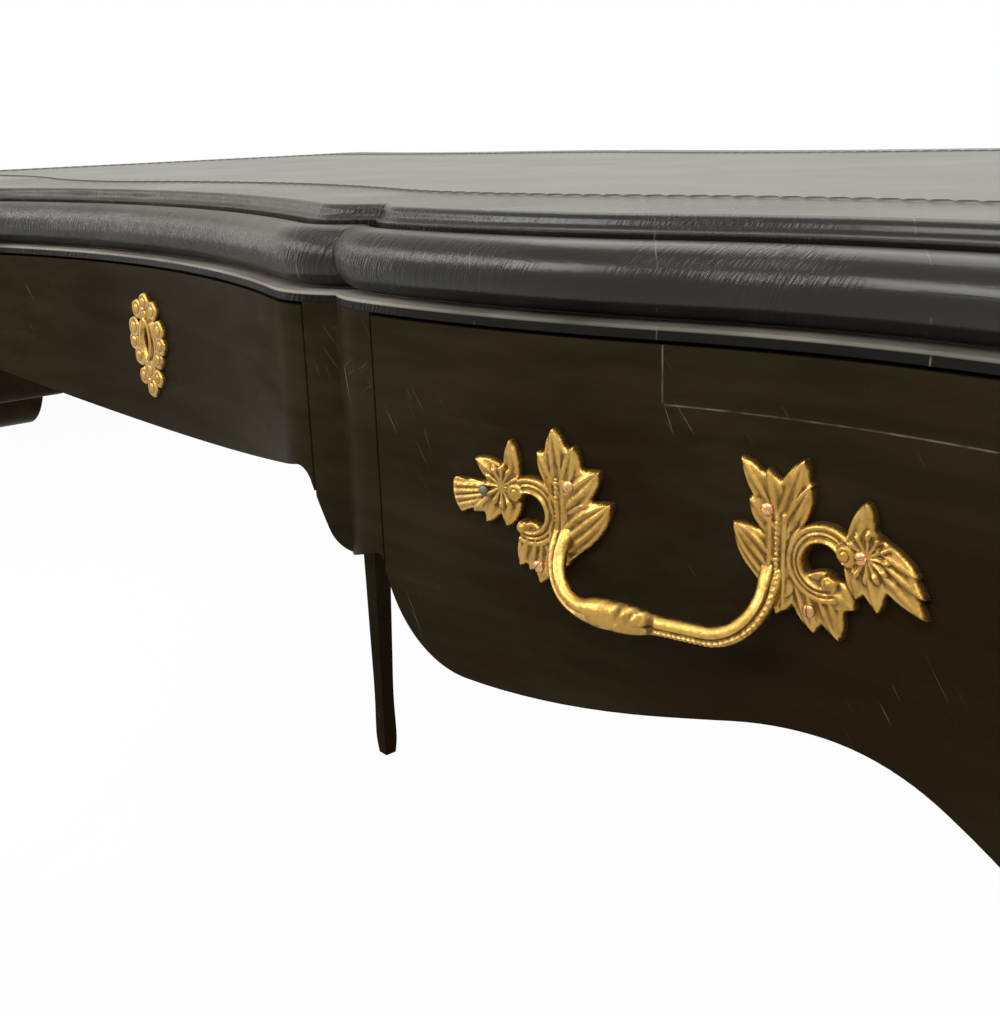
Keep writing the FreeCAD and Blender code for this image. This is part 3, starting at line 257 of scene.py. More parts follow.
class Paint:
    """A material with one principled shader, built up node by node in the frame of the table."""

    def __init__(self, name):
        self.material = bpy.data.materials.new(name)
        self.material.use_nodes = True
        self.tree = self.material.node_tree
        self.shader = self.tree.nodes["Principled BSDF"]
        self.place = self.node("ShaderNodeTexCoord").outputs["Object"]

    def node(self, kind, settings=None, **inputs):
        made = self.tree.nodes.new(kind)
        for key, value in (settings or {}).items():
            setattr(made, key, value)
        for key, value in inputs.items():
            self.put(made.inputs[key.replace("_", " ")], value)
        return made

    def put(self, socket, value):
        if isinstance(value, bpy.types.NodeSocket):
            self.tree.links.new(value, socket)
        elif hasattr(value, "__len__") and len(value) == 3 and socket.type == "RGBA":
            socket.default_value = (*value, 1.0)
        else:
            socket.default_value = value

    def set(self, **inputs):
        for key, value in inputs.items():
            self.put(self.shader.inputs[key.replace("_", " ")], value)

    def stretched(self, size, turn=0):
        """Places counted in cells of that size in millimetres, turned about the depth of the table."""
        mapping = self.node("ShaderNodeMapping", {"vector_type": "TEXTURE"}, Vector=self.place)
        mapping.inputs["Scale"].default_value = [length * MM for length in size]
        mapping.inputs["Rotation"].default_value = (0, radians(turn), 0)
        return mapping.outputs["Vector"]

    def noise(self, scale, detail=3.0, rough=0.55, place=None):
        made = self.node("ShaderNodeTexNoise", Scale=scale, Detail=detail, Roughness=rough)
        self.put(made.inputs["Vector"], place or self.place)
        return made.outputs["Fac"]

    def ramp(self, value, low, high, start=0.0, end=1.0):
        made = self.node("ShaderNodeMapRange", {"clamp": True}, Value=value)
        made.inputs["From Min"].default_value = low
        made.inputs["From Max"].default_value = high
        made.inputs["To Min"].default_value = start
        made.inputs["To Max"].default_value = end
        return made.outputs["Result"]

    def math(self, operation, a, b=0.0):
        made = self.node("ShaderNodeMath", {"operation": operation})
        self.put(made.inputs[0], a)
        self.put(made.inputs[1], b)
        return made.outputs["Value"]

    def mix(self, share, first, second):
        made = self.node("ShaderNodeMix", {"data_type": "RGBA"})
        self.put(made.inputs["Factor"], share)
        self.put(made.inputs[6], first)
        self.put(made.inputs[7], second)
        return made.outputs[2]

    def bump(self, height, strength, distance, under=None):
        made = self.node("ShaderNodeBump", Height=height, Strength=strength, Distance=distance)
        if under is not None:
            self.put(made.inputs["Normal"], under)
        return made.outputs["Normal"]

    def axes(self):
        made = self.node("ShaderNodeSeparateXYZ", Vector=self.place)
        return made.outputs["X"], made.outputs["Y"], made.outputs["Z"]


def scratches(paint, turn, density):
    """Thin short strokes at one slant, broken up by a coarse noise."""
    strokes = paint.noise(1.0, 2.0, 0.5, paint.stretched(SCRATCH_CELL, turn))
    broken = paint.noise(16.0, 2.0)
    line = paint.ramp(strokes, 0.68, 0.74)
    return paint.math("MULTIPLY", line, paint.ramp(broken, 0.62 - density, 0.72 - density))


def thin_line(paint, place, half):
    """1 on a line where that place is 0, falling to 0 at half the line's width."""
    return paint.ramp(paint.math("ABSOLUTE", place), 0.3 * half, half, 1.0, 0.0)


def veneer_seams(paint):
    """Fine pale lines where sheets of veneer meet on a bay: one upright, one level from there outwards."""
    across, _, height = paint.axes()
    side = paint.math("ABSOLUTE", across)
    above = paint.ramp(height, SEAM_Z * MM, (SEAM_Z + 1) * MM)
    upright = thin_line(paint, paint.math("SUBTRACT", side, SEAM_X * MM), SEAM_HALF * MM)
    upright = paint.math("MULTIPLY", upright, above)
    level = thin_line(paint, paint.math("SUBTRACT", height, SEAM_Z * MM), SEAM_HALF * MM)
    level = paint.math("MULTIPLY", level, paint.ramp(side, SEAM_X * MM, (SEAM_X + 1) * MM))
    broken = paint.ramp(paint.noise(90.0, 2.0), 0.40, 0.62, 0.1, 0.9)
    return paint.math("MULTIPLY", paint.math("MAXIMUM", upright, level), broken)


def cracks_across(paint):
    """Hairlines in the polish that run across the edge, far apart."""
    along = paint.math("ADD", *paint.axes()[:2])
    wander = paint.math("MULTIPLY", paint.noise(45.0, 2.0), 0.004)
    cells = paint.node("ShaderNodeTexVoronoi", {"feature": "DISTANCE_TO_EDGE", "voronoi_dimensions": "1D"},
                       W=paint.math("ADD", along, wander), Scale=CRACKS)
    line = paint.ramp(cells.outputs["Distance"], 0.001, 0.005, 1.0, 0.0)
    return paint.math("MULTIPLY", line, paint.ramp(paint.noise(120.0, 2.0), 0.45, 0.6))


def lacquer(name, colours, rough, shine, marks_of):
    """Black stained veneer: faint grain, cloudy gloss, softened corners and marks of use."""
    paint = Paint(name)
    grain = paint.noise(1.0, 5.0, 0.6, paint.stretched(GRAIN_CELL))
    cloud = paint.noise(7.0, 3.0)
    colour = paint.mix(paint.ramp(grain, 0.35, 0.75), *colours)
    colour = paint.mix(paint.ramp(paint.noise(5.0, 2.0), 0.42, 0.62, 0.0, 0.65), colour, STAIN)
    marks = marks_of(paint)
    paint.colour = paint.mix(paint.math("MULTIPLY", marks, 0.6), colour, WORN)
    cloudy = paint.ramp(cloud, 0.3, 0.7, rough - 0.05, rough + 0.08)
    dulled = paint.math("ADD", cloudy, paint.math("MULTIPLY", marks, 0.25))
    corners = paint.node("ShaderNodeBevel", {"samples": 4}, Radius=CORNER_RADIUS * MM).outputs["Normal"]
    pores = paint.noise(1.0, 3.0, 0.5, paint.stretched(PORE_CELL))
    paint.normal = paint.bump(pores, 0.10, 0.0006, corners)
    paint.set(Base_Color=paint.colour, Roughness=dulled, Normal=paint.normal)
    paint.set(Specular_IOR_Level=shine, Specular_Tint=POLISH_TINT)
    return paint


def edge_lacquer():
    """The moulded edge: rubbed patches, polish on the rolls and the flat top, a pale painted highlight on the
    lip under them.
    """
    paint = lacquer("edge_lacquer", EDGE_COLOURS, EDGE_ROUGH, EDGE_SHINE, edge_marks)
    rubbed = paint.noise(1.0, 3.0, 0.6, paint.stretched(RUB_CELL, RUB_SLANT))
    patches = paint.ramp(paint.noise(9.0, 2.0), 0.38, 0.58)
    normal = paint.bump(paint.math("MULTIPLY", rubbed, patches), EDGE_RUB, 0.0009, paint.normal)
    height = paint.axes()[2]
    lip_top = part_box("top_panel")[1].z - LIP_DROP * MM
    over = paint.ramp(height, lip_top, lip_top + 0.4 * MM)
    lip_low = lip_top - LIP_TALL * MM
    # Painted highlight: a thin, uneven pale line on the lip under the torus, standing in for light caught
    # there
    lip_highlight = paint.math("SUBTRACT", paint.ramp(height, lip_low, lip_low + 0.3 * LIP_TALL * MM), over)
    highlight_strength = paint.ramp(paint.noise(9.0, 4.0), 0.30, 0.60, 0.12, 0.60)
    paint.set(Base_Color=paint.mix(paint.math("MULTIPLY", lip_highlight, highlight_strength), paint.colour, LIP_HIGHLIGHT))
    paint.set(Normal=normal, Coat_Normal=normal, Coat_Weight=paint.math("MULTIPLY", over, EDGE_COAT))
    paint.set(Coat_Roughness=EDGE_COAT_ROUGH, Coat_Tint=POLISH_TINT)
    return paint


def face_marks(paint):
    """Scratches at several slants."""
    marks = 0.0
    for row in FACE_SCRATCHES:
        marks = paint.math("MAXIMUM", marks, scratches(paint, *row))
    return marks


def bay_marks(paint):
    """Scratches and the seams of the veneer."""
    return paint.math("MAXIMUM", face_marks(paint), veneer_seams(paint))


def edge_marks(paint):
    """Scratches, and hairlines across the edge."""
    return paint.math("MAXIMUM", scratches(paint, *EDGE_SCRATCHES), cracks_across(paint))


def leather():
    """Dark hide with a fine grain, cloudy gloss and a dull rope line."""
    paint = Paint("leather")
    cells = paint.node("ShaderNodeTexVoronoi", {"feature": "DISTANCE_TO_EDGE"}, Scale=HIDE_CELLS)
    paint.put(cells.inputs["Vector"], paint.place)
    cloud = paint.noise(9.0, 4.0)
    colour = paint.mix(paint.ramp(cloud, 0.3, 0.7), *LEATHER_COLOURS)
    tooled = paint.node("ShaderNodeAttribute", {"attribute_name": "hollow"}).outputs["Fac"]
    paint.set(Base_Color=paint.mix(tooled, colour, ROPE_COLOUR))
    rough = paint.ramp(cloud, 0.3, 0.7, 0.30, 0.38)
    paint.set(Roughness=paint.math("ADD", rough, paint.math("MULTIPLY", tooled, 0.5)))
    paint.set(Specular_IOR_Level=0.5, Specular_Tint=POLISH_TINT)
    paint.set(Coat_Weight=paint.ramp(tooled, 0.0, 0.5, 0.05, 0.0))
    paint.set(Coat_Roughness=0.1, Coat_Tint=POLISH_TINT)
    fine = paint.bump(paint.ramp(cells.outputs["Distance"], 0.0, 0.25), 0.05, 0.0004)
    paint.set(Normal=paint.bump(paint.noise(26.0, 3.0), 0.03, 0.002, fine))
    return paint


def brass():
    """Gilt casting: bright ridges, brown patina in the hollows and in patches, a finely pitted face."""
    paint = Paint("gilt_brass")
    hollow = paint.node("ShaderNodeAttribute", {"attribute_name": "hollow"}).outputs["Fac"]
    cloud = paint.noise(60.0, 4.0)
    speck = paint.noise(420.0, 3.0)
    gold = paint.mix(paint.ramp(cloud, 0.35, 0.7), *GOLD_COLOURS)
    dirt = paint.math("MULTIPLY", paint.ramp(hollow, 0.24, 0.70), paint.ramp(speck, 0.25, 0.6, 0.6, 1.0))
    dirt = paint.math("MAXIMUM", dirt, paint.ramp(paint.noise(190.0, 3.0), 0.52, 0.70, 0.0, 0.5))
    paint.set(Base_Color=paint.mix(dirt, gold, PATINA))
    paint.set(Metallic=paint.ramp(dirt, 0.0, 1.0, 1.0, 0.75))
    rough = paint.ramp(speck, 0.3, 0.7, 0.26, 0.42)
    paint.set(Roughness=paint.math("ADD", rough, paint.math("MULTIPLY", dirt, 0.22)))
    paint.set(Normal=paint.bump(speck, 0.4, 0.0007))
    return paint


def plain_metal(name, colours, rough):
    """A cloudy metal with a finely uneven face."""
    paint = Paint(name)
    cloud = paint.noise(240.0, 4.0)
    paint.set(Base_Color=paint.mix(paint.ramp(cloud, 0.35, 0.65), *colours), Metallic=1.0)
    paint.set(Roughness=paint.ramp(cloud, 0.3, 0.7, rough - 0.07, rough + 0.1))
    paint.set(Normal=paint.bump(cloud, 0.1, 0.0003))
    return paint


def oak():
    """Plain oak with its grain and pores along the depth of the table."""
    paint = Paint("oak")
    grain = paint.noise(1.0, 6.0, 0.62, paint.stretched(OAK_GRAIN_CELL))
    pores = paint.noise(1.0, 2.0, 0.5, paint.stretched(OAK_PORE_CELL))
    colour = paint.mix(paint.ramp(grain, 0.3, 0.7), *OAK_COLOURS)
    paint.set(Base_Color=paint.mix(paint.ramp(pores, 0.60, 0.72, 0.0, 0.6), colour, OAK_PORES))
    paint.set(Roughness=paint.ramp(grain, 0.3, 0.7, 0.55, 0.75))
    paint.set(Normal=paint.bump(pores, 0.2, 0.0005))
    return paint


FACE_BLACK = lacquer("face_lacquer", FACE_COLOURS, FACE_ROUGH, FACE_SHINE, face_marks)
BAY_BLACK = lacquer("bay_lacquer", FACE_COLOURS, FACE_ROUGH, FACE_SHINE, bay_marks)
EDGE_BLACK = edge_lacquer()
LEATHER = leather()
BRASS = brass()
SCREW_BRASS = plain_metal("screw_brass", SCREW_COLOURS, 0.3)
IRON = plain_metal("iron", IRON_COLOURS, 0.5)
STEEL = plain_metal("steel", STEEL_COLOURS, 0.42)
OAK = oak()
SLOTS = {row["node"]: row["material_slot"] for row in frame["record"]["subparts"]}
FINISHES = {"leather": LEATHER, "drawer_wood": OAK, "gilt_brass": BRASS, "steel": STEEL}


def finish_of(node):
    """The paint of a CAD node, by its slot and its name."""
    if SLOTS[node] != "ebonised_wood":
        return FINISHES[SLOTS[node]]
    if node.startswith(("moulding", "top_panel")):
        return EDGE_BLACK
    return BAY_BLACK if node in BAYS else FACE_BLACK


def paint_piece(piece, paint):
    piece.data.materials.clear()
    piece.data.materials.append(paint.material)


def chased_mesh(name, points, faces, hollow):
    """A mesh with a value at each point that its paint reads, for how hollow or how tooled it is there."""
    mesh = bpy.data.meshes.new(name)
    mesh.from_pydata(points, [], faces)
    mesh.attributes.new("hollow", "FLOAT", "POINT").data.foreach_set("value", hollow)
    return mesh


# Relief: a chased plate drawn as a height over a flat grid and wrapped on a curved face

class Relief:
    """Heights in millimetres over a grid, and each point's distance from the outline, below 0 inside it."""

    def __init__(self, x0, x1, z0, z1, step):
        self.step = step
        xs = np.arange(x0, x1 + step, step)
        zs = np.arange(z0, z1 + step, step)
        self.x, self.z = np.meshgrid(xs, zs, indexing="ij")
        self.edge = np.full(self.x.shape, 99.0)
        self.height = np.zeros(self.x.shape)

    def add(self, edge, height, web=0.0):
        """Joins an element to the plate, with a web of that width in the corners between them."""
        sloped = height - WEB_SLOPE * np.clip(edge, 0, None)
        self.height = np.where(edge < web + self.step, np.maximum(self.height, sloped), self.height)
        if web > 0:
            share = np.clip(0.5 + (self.edge - edge) / (2 * web), 0, 1)
            self.edge = self.edge + (edge - self.edge) * share - web * share * (1 - share)
        else:
            self.edge = np.minimum(self.edge, edge)

    def pierce(self, edge):
        """Cuts a hole where that distance is below 0."""
        self.edge = np.maximum(self.edge, -edge)

    def along_line(self, base_x, base_z, tip_x, tip_z):
        """Length of a line, and for each point its share of the way along it and its distance across it."""
        length = np.hypot(tip_x - base_x, tip_z - base_z)
        ex = (tip_x - base_x) / length
        ez = (tip_z - base_z) / length
        along = ((self.x - base_x) * ex + (self.z - base_z) * ez) / length
        across = (self.z - base_z) * ex - (self.x - base_x) * ez
        return length, along, across

    def round_spot(self, x, z, radius):
        """Distance and direction of each point from a spot, and the distance as a share of its radius."""
        away = np.hypot(self.x - x, self.z - z)
        return away, np.arctan2(self.z - z, self.x - x), np.clip(away / radius, 0, 1)

    def leaf(self, base_x, base_z, tip_x, tip_z, width, veins):
        """A broad leaf with a pointed tip, raised veins and rim, and hollows between them."""
        length, along, across = self.along_line(base_x, base_z, tip_x, tip_z)
        past = np.clip((along - LEAF_BELLY) / (1 - LEAF_BELLY), 0, 1)
        half = width / 2 * (1 - past ** 2.3) ** 0.85
        share = np.clip(across / np.maximum(half, 0.15), -1, 1)
        edge = (np.abs(across) - half) * np.where(along > LEAF_BELLY, 0.93, 1)
        edge = np.where(along < 0, np.hypot(along * length, across) - width / 2, edge)
        edge = np.where(along > 1, np.hypot((along - 1) * length, across), edge)
        height = 1.6 + 1.9 * np.sqrt(1 - 0.8 * share ** 2) + 0.7 * np.sin(pi * np.clip(along, 0, 1))
        flute = np.abs(np.cos(pi / 2 * (veins + 1) * share + (pi / 2 if veins % 2 else 0)))
        height -= 1.0 * flute * np.clip(1.3 - along, 0, 1) * np.clip(0.4 + 2 * along, 0, 1)
        self.add(edge, height, LEAF_WEB)

    def fan(self, base_x, base_z, tip_x, tip_z, width, flutes):
        """A fan that widens to a scalloped end, with an odd number of flutes."""
        length, along, across = self.along_line(base_x, base_z, tip_x, tip_z)
        half = width / 2 * (0.4 + 0.6 * np.clip(along, 0, 1))
        share = np.clip(across / half, -1, 1)
        scallop = np.sqrt(np.abs(np.cos(pi / 2 * flutes * share)))
        end = (along - 0.88 - 0.04 * scallop - 0.08 * (1 - share ** 2)) * length
        edge = np.maximum(np.maximum(np.abs(across) - half, end), -along * length)
        height = 1.6 + 1.4 * np.sqrt(1 - 0.7 * share ** 2) + 0.7 * np.sin(pi * np.clip(along, 0, 1))
        height -= 0.8 * scallop ** 2 * np.clip(0.3 + 1.5 * along, 0, 1)
        self.add(edge, height, LEAF_WEB)

    def shell(self, x, z, radius):
        """A fluted rosette with a raised rim."""
        away, angle, share = self.round_spot(x, z, radius)
        rib = np.cos(SHELL_RIBS * angle)
        height = 3.7 + 0.8 * share * rib + 0.5 * np.exp(-((share - 0.9) / 0.12) ** 2) * (0.6 + 0.4 * rib)
        self.add(away - radius * (1 + 0.05 * rib), height, LEAF_WEB)

    def scroll(self, x, z, start, end):
        """A rolled band round a centre, open between two directions."""
        away = np.hypot(self.x - x, self.z - z)
        first = Vector(start).normalized()
        last = Vector(end).normalized()
        if first.cross(last) < 0:
            first, last = last, first
        past_first = (self.z - z) * first.x - (self.x - x) * first.y
        before_last = (self.x - x) * last.y - (self.z - z) * last.x
        mouth = np.minimum(past_first, before_last)
        across = (away - SCROLL_RADIUS) / (SCROLL_WIDTH / 2)
        height = np.full(away.shape, 3.1)
        for rise, at, half in SCROLL_ROLLS:
            height += rise * np.exp(-((across - at) / half) ** 2)
        self.add(np.maximum(np.abs(away - SCROLL_RADIUS) - SCROLL_WIDTH / 2, mouth), height)

    def curl(self, x, z, radius):
        """A small volute."""
        away, angle, share = self.round_spot(x, z, radius)
        height = 3.6 + 1.9 * np.sqrt(1 - 0.9 * share ** 2)
        height -= 0.55 * np.clip(np.cos(angle + 2 * pi * away / 1.9), 0, 1) * (share > 0.25)
        self.add(away - radius, height)

    def stem(self, x):
        """An upright between two fillets, with a row of beads down its middle."""
        middle = (STEM_LOW + STEM_HIGH) / 2
        side = np.abs(self.x - x)
        edge = np.maximum(side - STEM_HALF, np.abs(self.z - middle) - (STEM_HIGH - STEM_LOW) / 2)
        height = 3.2 + 0.8 * np.exp(-((side - 2.5) / 0.75) ** 2)
        bead = ((self.z - STEM_LOW) % (2 * STEM_BEAD) - STEM_BEAD) / STEM_BEAD
        height += 0.8 * np.sqrt(np.clip(1 - (side / STEM_BEAD) ** 2 - bead ** 2, 0, 1))
        self.add(edge, height, LEAF_WEB)

    def petal(self, x, z, radius):
        """A domed petal with a ring cut into it."""
        away, angle, share = self.round_spot(x, z, radius)
        height = 1.5 + 1.7 * np.sqrt(1 - 0.85 * share ** 2) - 0.5 * np.exp(-((share - 0.55) / 0.14) ** 2)
        self.add(away - radius * (1 + 0.05 * np.cos(5 * angle)), height)

    def soften(self, turns):
        """The heights averaged with their neighbours inside the outline."""
        inside = (self.edge < self.step).astype(float)
        height = self.height * inside
        for _ in range(turns):
            total = height.copy()
            count = inside.copy()
            for axis in (0, 1):
                for shift in (-1, 1):
                    total += np.roll(height, shift, axis)
                    count += np.roll(inside, shift, axis)
            height = total / np.maximum(count, 1) * inside
        return height

    def ease(self):
        """Takes the sharpness off the heights."""
        self.height = 0.6 * self.height + 0.4 * self.soften(1)

    def round_off(self, rim, width):
        """Lets the heights fall to a rounded rim at the outline."""
        share = np.clip(-self.edge / width, 0, 1)
        fall = np.sqrt(1 - (1 - share) ** 2)
        self.height = rim + (self.height - rim) * fall

    def hollows(self):
        """How deep each point lies under its surroundings, from 0 to 1."""
        depth = self.soften(9) - self.height
        return np.clip(0.30 + depth * 2.4, 0, 1)

    def build(self, name, place):
        """A closed mesh of the plate, with place(x, z, height) giving points in the table's frame."""
        slope_x, slope_z = np.gradient(self.edge, self.step)
        steep = np.maximum(slope_x ** 2 + slope_z ** 2, 0.05)
        limit = 0.6 * self.step
        near = np.abs(self.edge) < limit
        shift = np.where(near, self.edge / steep, 0)
        x = self.x - np.clip(shift * slope_x, -limit, limit)
        z = self.z - np.clip(shift * slope_z, -limit, limit)
        inside = near | (self.edge < 0)
        cells = inside[:-1, :-1] & inside[1:, :-1] & inside[1:, 1:] & inside[:-1, 1:]
        used = np.zeros(inside.shape, bool)
        for dx in (0, 1):
            for dz in (0, 1):
                used[dx:cells.shape[0] + dx, dz:cells.shape[1] + dz] |= cells
        number = np.full(inside.shape, -1)
        number[used] = np.arange(used.sum())
        top = place(x[used], z[used], self.height[used])
        back = place(x[used], z[used], np.zeros(used.sum()))
        corners = (number[:-1, :-1], number[1:, :-1], number[1:, 1:], number[:-1, 1:])
        faces = np.stack([corner[cells] for corner in corners], axis=1)
        count = len(top)
        edges = np.concatenate([faces[:, [k, (k + 1) % 4]] for k in range(4)])
        ways = {(a, b) for a, b in edges.tolist()}
        rim = np.array([(a, b) for a, b in ways if (b, a) not in ways])
        walls = np.stack([rim[:, 1], rim[:, 0], rim[:, 0] + count, rim[:, 1] + count], axis=1)
        under = faces[:, ::-1] + count
        points = np.concatenate([top, back]).tolist()
        faces = np.concatenate([faces, walls, under]).tolist()
        return chased_mesh(name, points, faces, np.tile(self.hollows()[used], 2).astype(np.float32))


class Face:
    """The curved front of a drawer as a smooth line in plan, with points proud of it."""

    def __init__(self, node, at, reach):
        mesh = NODES[node].data
        tree = BVHTree.FromPolygons([v.co for v in mesh.vertices], [p.vertices for p in mesh.polygons])
        self.x, self.z = at
        xs = np.linspace(self.x - reach, self.x + reach, FACE_POINTS)
        level = (self.z - FACE_DROP) * MM
        ys = [tree.ray_cast(Vector((x * MM, -1.0, level)), Vector((0, 1, 0)))[0].y / MM for x in xs]
        self.line = np.polyfit(xs - self.x, ys, FACE_DEGREE)
        self.slope = np.polyder(self.line)

    def place(self, x, z, proud):
        """Points in the table's frame, in metres, from places on the face and heights over it."""
        y = np.polyval(self.line, x)
        tilt = np.polyval(self.slope, x)
        size = np.sqrt(1 + tilt ** 2)
        return np.stack([self.x + x + proud * tilt / size, y - proud / size, self.z + z], axis=-1) * MM


def show(mesh, name, paint, body, sharp):
    """Adds a mesh as a piece that rides on a body."""
    mesh.validate()
    mesh.shade_smooth()
    mesh.set_sharp_from_angle(angle=radians(sharp))
    piece = bpy.data.objects.new(name, mesh)
    bpy.context.scene.collection.objects.link(piece)
    paint_piece(piece, paint)
    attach(piece, body)
    return piece


def mount(mesh, name, paint, body, node=None):
    """Adds a mesh of the gilt mounts as a piece, in place of a CAD node where one is named."""
    piece = show(mesh, name, paint, body, MOUNT_SHARP)
    if node is not None:
        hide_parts(node)


def mirrored(mesh, name, flip_x, flip_y):
    """A copy of a mesh, mirrored to the other end or to the back of the table."""
    copy = mesh.copy()
    copy.name = name
    copy.transform(Matrix.Diagonal((-1 if flip_x else 1, -1 if flip_y else 1, 1, 1)))
    if flip_x != flip_y:
        copy.flip_normals()
    return copy


def joined(name, meshes):
    """One mesh from several, with their hollow values kept."""
    points = []
    faces = []
    hollow = []
    for mesh in meshes:
        start = len(points)
        points += [tuple(v.co) for v in mesh.vertices]
        faces += [[start + i for i in p.vertices] for p in mesh.polygons]
        hollow += [d.value for d in mesh.attributes["hollow"].data]
    return chased_mesh(name, points, faces, hollow)


# Pull

BAY = Face("right_drawer_front", PULL_AT, PULL_REACH)


def pull_plates():
    """The two plates of the pull with their leaves, scrolls and rosettes."""
    relief = Relief(*PLATE_GRID)
    for row in SHELLS:
        relief.shell(*row)
    for row in LEAVES:
        relief.leaf(*row)
    relief.fan(*FAN)
    for x in STEMS:
        relief.stem(x)
    for row in SCROLLS:
        relief.scroll(*row)
    for row in CURLS:
        relief.curl(*row)
    relief.ease()
    relief.round_off(1.0, 0.9)
    return relief.build("pull_plates", BAY.place)


def bail_path(step):
    """Share of the way, length so far, x, z and heading of points along the bail."""
    bend = BAIL_BEND
    start = BAIL_TOP + BAIL_ROOT
    drop = start - BAIL_LOW - bend
    flat = 2 * (BAIL_HALF - bend)
    turn = bend * pi / 2
    total = 2 * drop + 2 * turn + flat
    for s in np.linspace(0, total, int(total / step) + 1):
        if s < drop:
            x, z, heading = -BAIL_HALF, start - s, -pi / 2
        elif s < drop + turn:
            angle = (s - drop) / bend
            x = -BAIL_HALF + bend * (1 - cos(angle))
            z = BAIL_LOW + bend * (1 - sin(angle))
            heading = angle - pi / 2
        elif s < drop + turn + flat:
            x, z, heading = -BAIL_HALF + bend + s - drop - turn, BAIL_LOW, 0.0
        elif s < drop + 2 * turn + flat:
            angle = (s - drop - turn - flat) / bend
            x = BAIL_HALF - bend + bend * sin(angle)
            z = BAIL_LOW + bend * (1 - cos(angle))
            heading = angle
        else:
            x, z, heading = BAIL_HALF, BAIL_LOW + bend + s - drop - 2 * turn - flat, pi / 2
        yield s / total, s, x, z, heading


def bail_chasing(a, x, s, wide, ruffle, notch):
    """Rise and depth of the hollows on the outer side of the bail, at a distance across it."""
    strand = 1.0 - ruffle
    beaded = np.clip((x - NOTCH_AT) / 6, 0, 1)
    opened = np.clip((x - RUFFLE_AT + 6) / 7, 0, 1)
    wave = cos(2 * pi * s / BEAD_PITCH)
    groove = np.exp(-((a + 0.9) / 0.6) ** 2) * strand
    bead = np.exp(-((a + 2.4) / 0.9) ** 2) * strand * beaded
    rib = cos(2 * pi * 2.6 * (x - RUFFLE_AT) / (wide + a + 5))
    inner = np.clip((a + 0.5 * wide) / wide, 0, 1)
    fluted = ruffle * inner * opened
    boss = np.exp(-((x - RUFFLE_AT - 2) ** 2 + (a + 0.55 * wide) ** 2) / 2.6) * ruffle
    rise = 0.35 * bead * wave - 1.15 * groove + 0.5 * fluted * rib + 1.1 * boss
    rise -= 1.3 * notch * (a > -0.5 * wide)
    low = 0.75 * groove + 0.35 * bead * (1 - wave) / 2 + 0.6 * fluted * (1 - rib) / 2 + 0.6 * notch
    return rise, low


def bail():
    """Two rolls with a groove between them, a ruffled leaf near the middle and beads on one half."""
    ends = BAY.place(np.array([-BAIL_HALF, BAIL_HALF]), np.zeros(2), np.full(2, BAIL_SEAT)) / MM
    chord = Vector(ends[1] - ends[0]).normalized()
    out = Vector((0, 0, 1)).cross(chord) * -1
    points = []
    hollow = []
    rows = 0
    for share, s, x, z, heading in bail_path(BAIL_STEP):
        rows += 1
        lean = (z - BAIL_TOP) / (BAIL_LOW - BAIL_TOP)
        blend = (x + BAIL_HALF) / (2 * BAIL_HALF)
        centre = Vector(ends[0]) * (1 - blend) + Vector(ends[1]) * blend
        centre.z = PULL_AT[1] + z
        centre += out * (BAIL_PROUD * lean)
        inward = chord * -sin(heading) + Vector((0, 0, 1)) * cos(heading)
        end = min(share, 1 - share)
        flare = 1.6 * max(0.0, 1 - end / FLARE_END) ** 1.5
        wide = (BAIL_WIDE + flare) * min(1.0, 0.3 + 0.7 * end / NARROW_END)
        thick = BAIL_THICK * min(1.0, 0.2 + 0.8 * end / THIN_END)
        low_run = z < BAIL_LOW + BAIL_BEND / 2
        ruffle = np.exp(-((x - RUFFLE_AT) / RUFFLE_HALF) ** 4) if low_run else 0.0
        notch = np.exp(-((x - NOTCH_AT) / 1.5) ** 2) if low_run else 0.0
        wide += 2.0 * ruffle
        thick += 1.2 * ruffle
        for k in range(BAIL_SIDES):
            angle = 2 * pi * k / BAIL_SIDES
            a = wide * cos(angle)
            b = thick * sin(angle)
            rise, low = bail_chasing(a, x, s, wide, ruffle, notch) if b > 0 else (0.0, 0.0)
            points.append(tuple((centre + inward * a + out * (b + rise)) * MM))
            hollow.append(0.12 + low)
    faces = []
    for row in range(rows - 1):
        this = row * BAIL_SIDES
        after = this + BAIL_SIDES
        for k in range(BAIL_SIDES):
            right = (k + 1) % BAIL_SIDES
            faces.append([this + k, this + right, after + right, after + k])
    faces.append(list(range(BAIL_SIDES))[::-1])
    faces.append(list(range((rows - 1) * BAIL_SIDES, rows * BAIL_SIDES)))
    return chased_mesh("bail", points, faces, hollow)


def round_heads(name, face, spots, seat, radius, slot_turn):
    """Round heads of screws, nails or pins, slotted unless the turn is None."""
    meshes = []
    for k, (x, z) in enumerate(spots):
        reach = radius + 0.3
        relief = Relief(-reach, reach, -reach, reach, HEAD_STEP)
        away = np.hypot(relief.x, relief.z)
        height = seat + HEAD_DOME * np.sqrt(np.clip(1 - 0.92 * (away / radius) ** 2, 0, 1))
        if slot_turn is not None:
            turn = slot_turn + SCREW_TURN_STEP * k
            across = np.abs(relief.x * cos(turn) + relief.z * sin(turn))
            height -= SLOT_DEEP * np.clip((SLOT_HALF - across) / HEAD_STEP, 0, 1)
        relief.add(away - radius, height)
        relief.x = relief.x + x
        relief.z = relief.z + z
        meshes.append(relief.build(name, face.place))
    return joined(name, meshes)


PULL_MESH = joined("pull", [pull_plates(), bail()])
SCREW_MESH = round_heads("pull_screws", BAY, SCREWS, SCREW_SEAT, SCREW_RADIUS, SCREW_TURN)
NAIL_MESH = round_heads("pull_nail", BAY, [NAIL], NAIL_SEAT, NAIL_RADIUS, None)

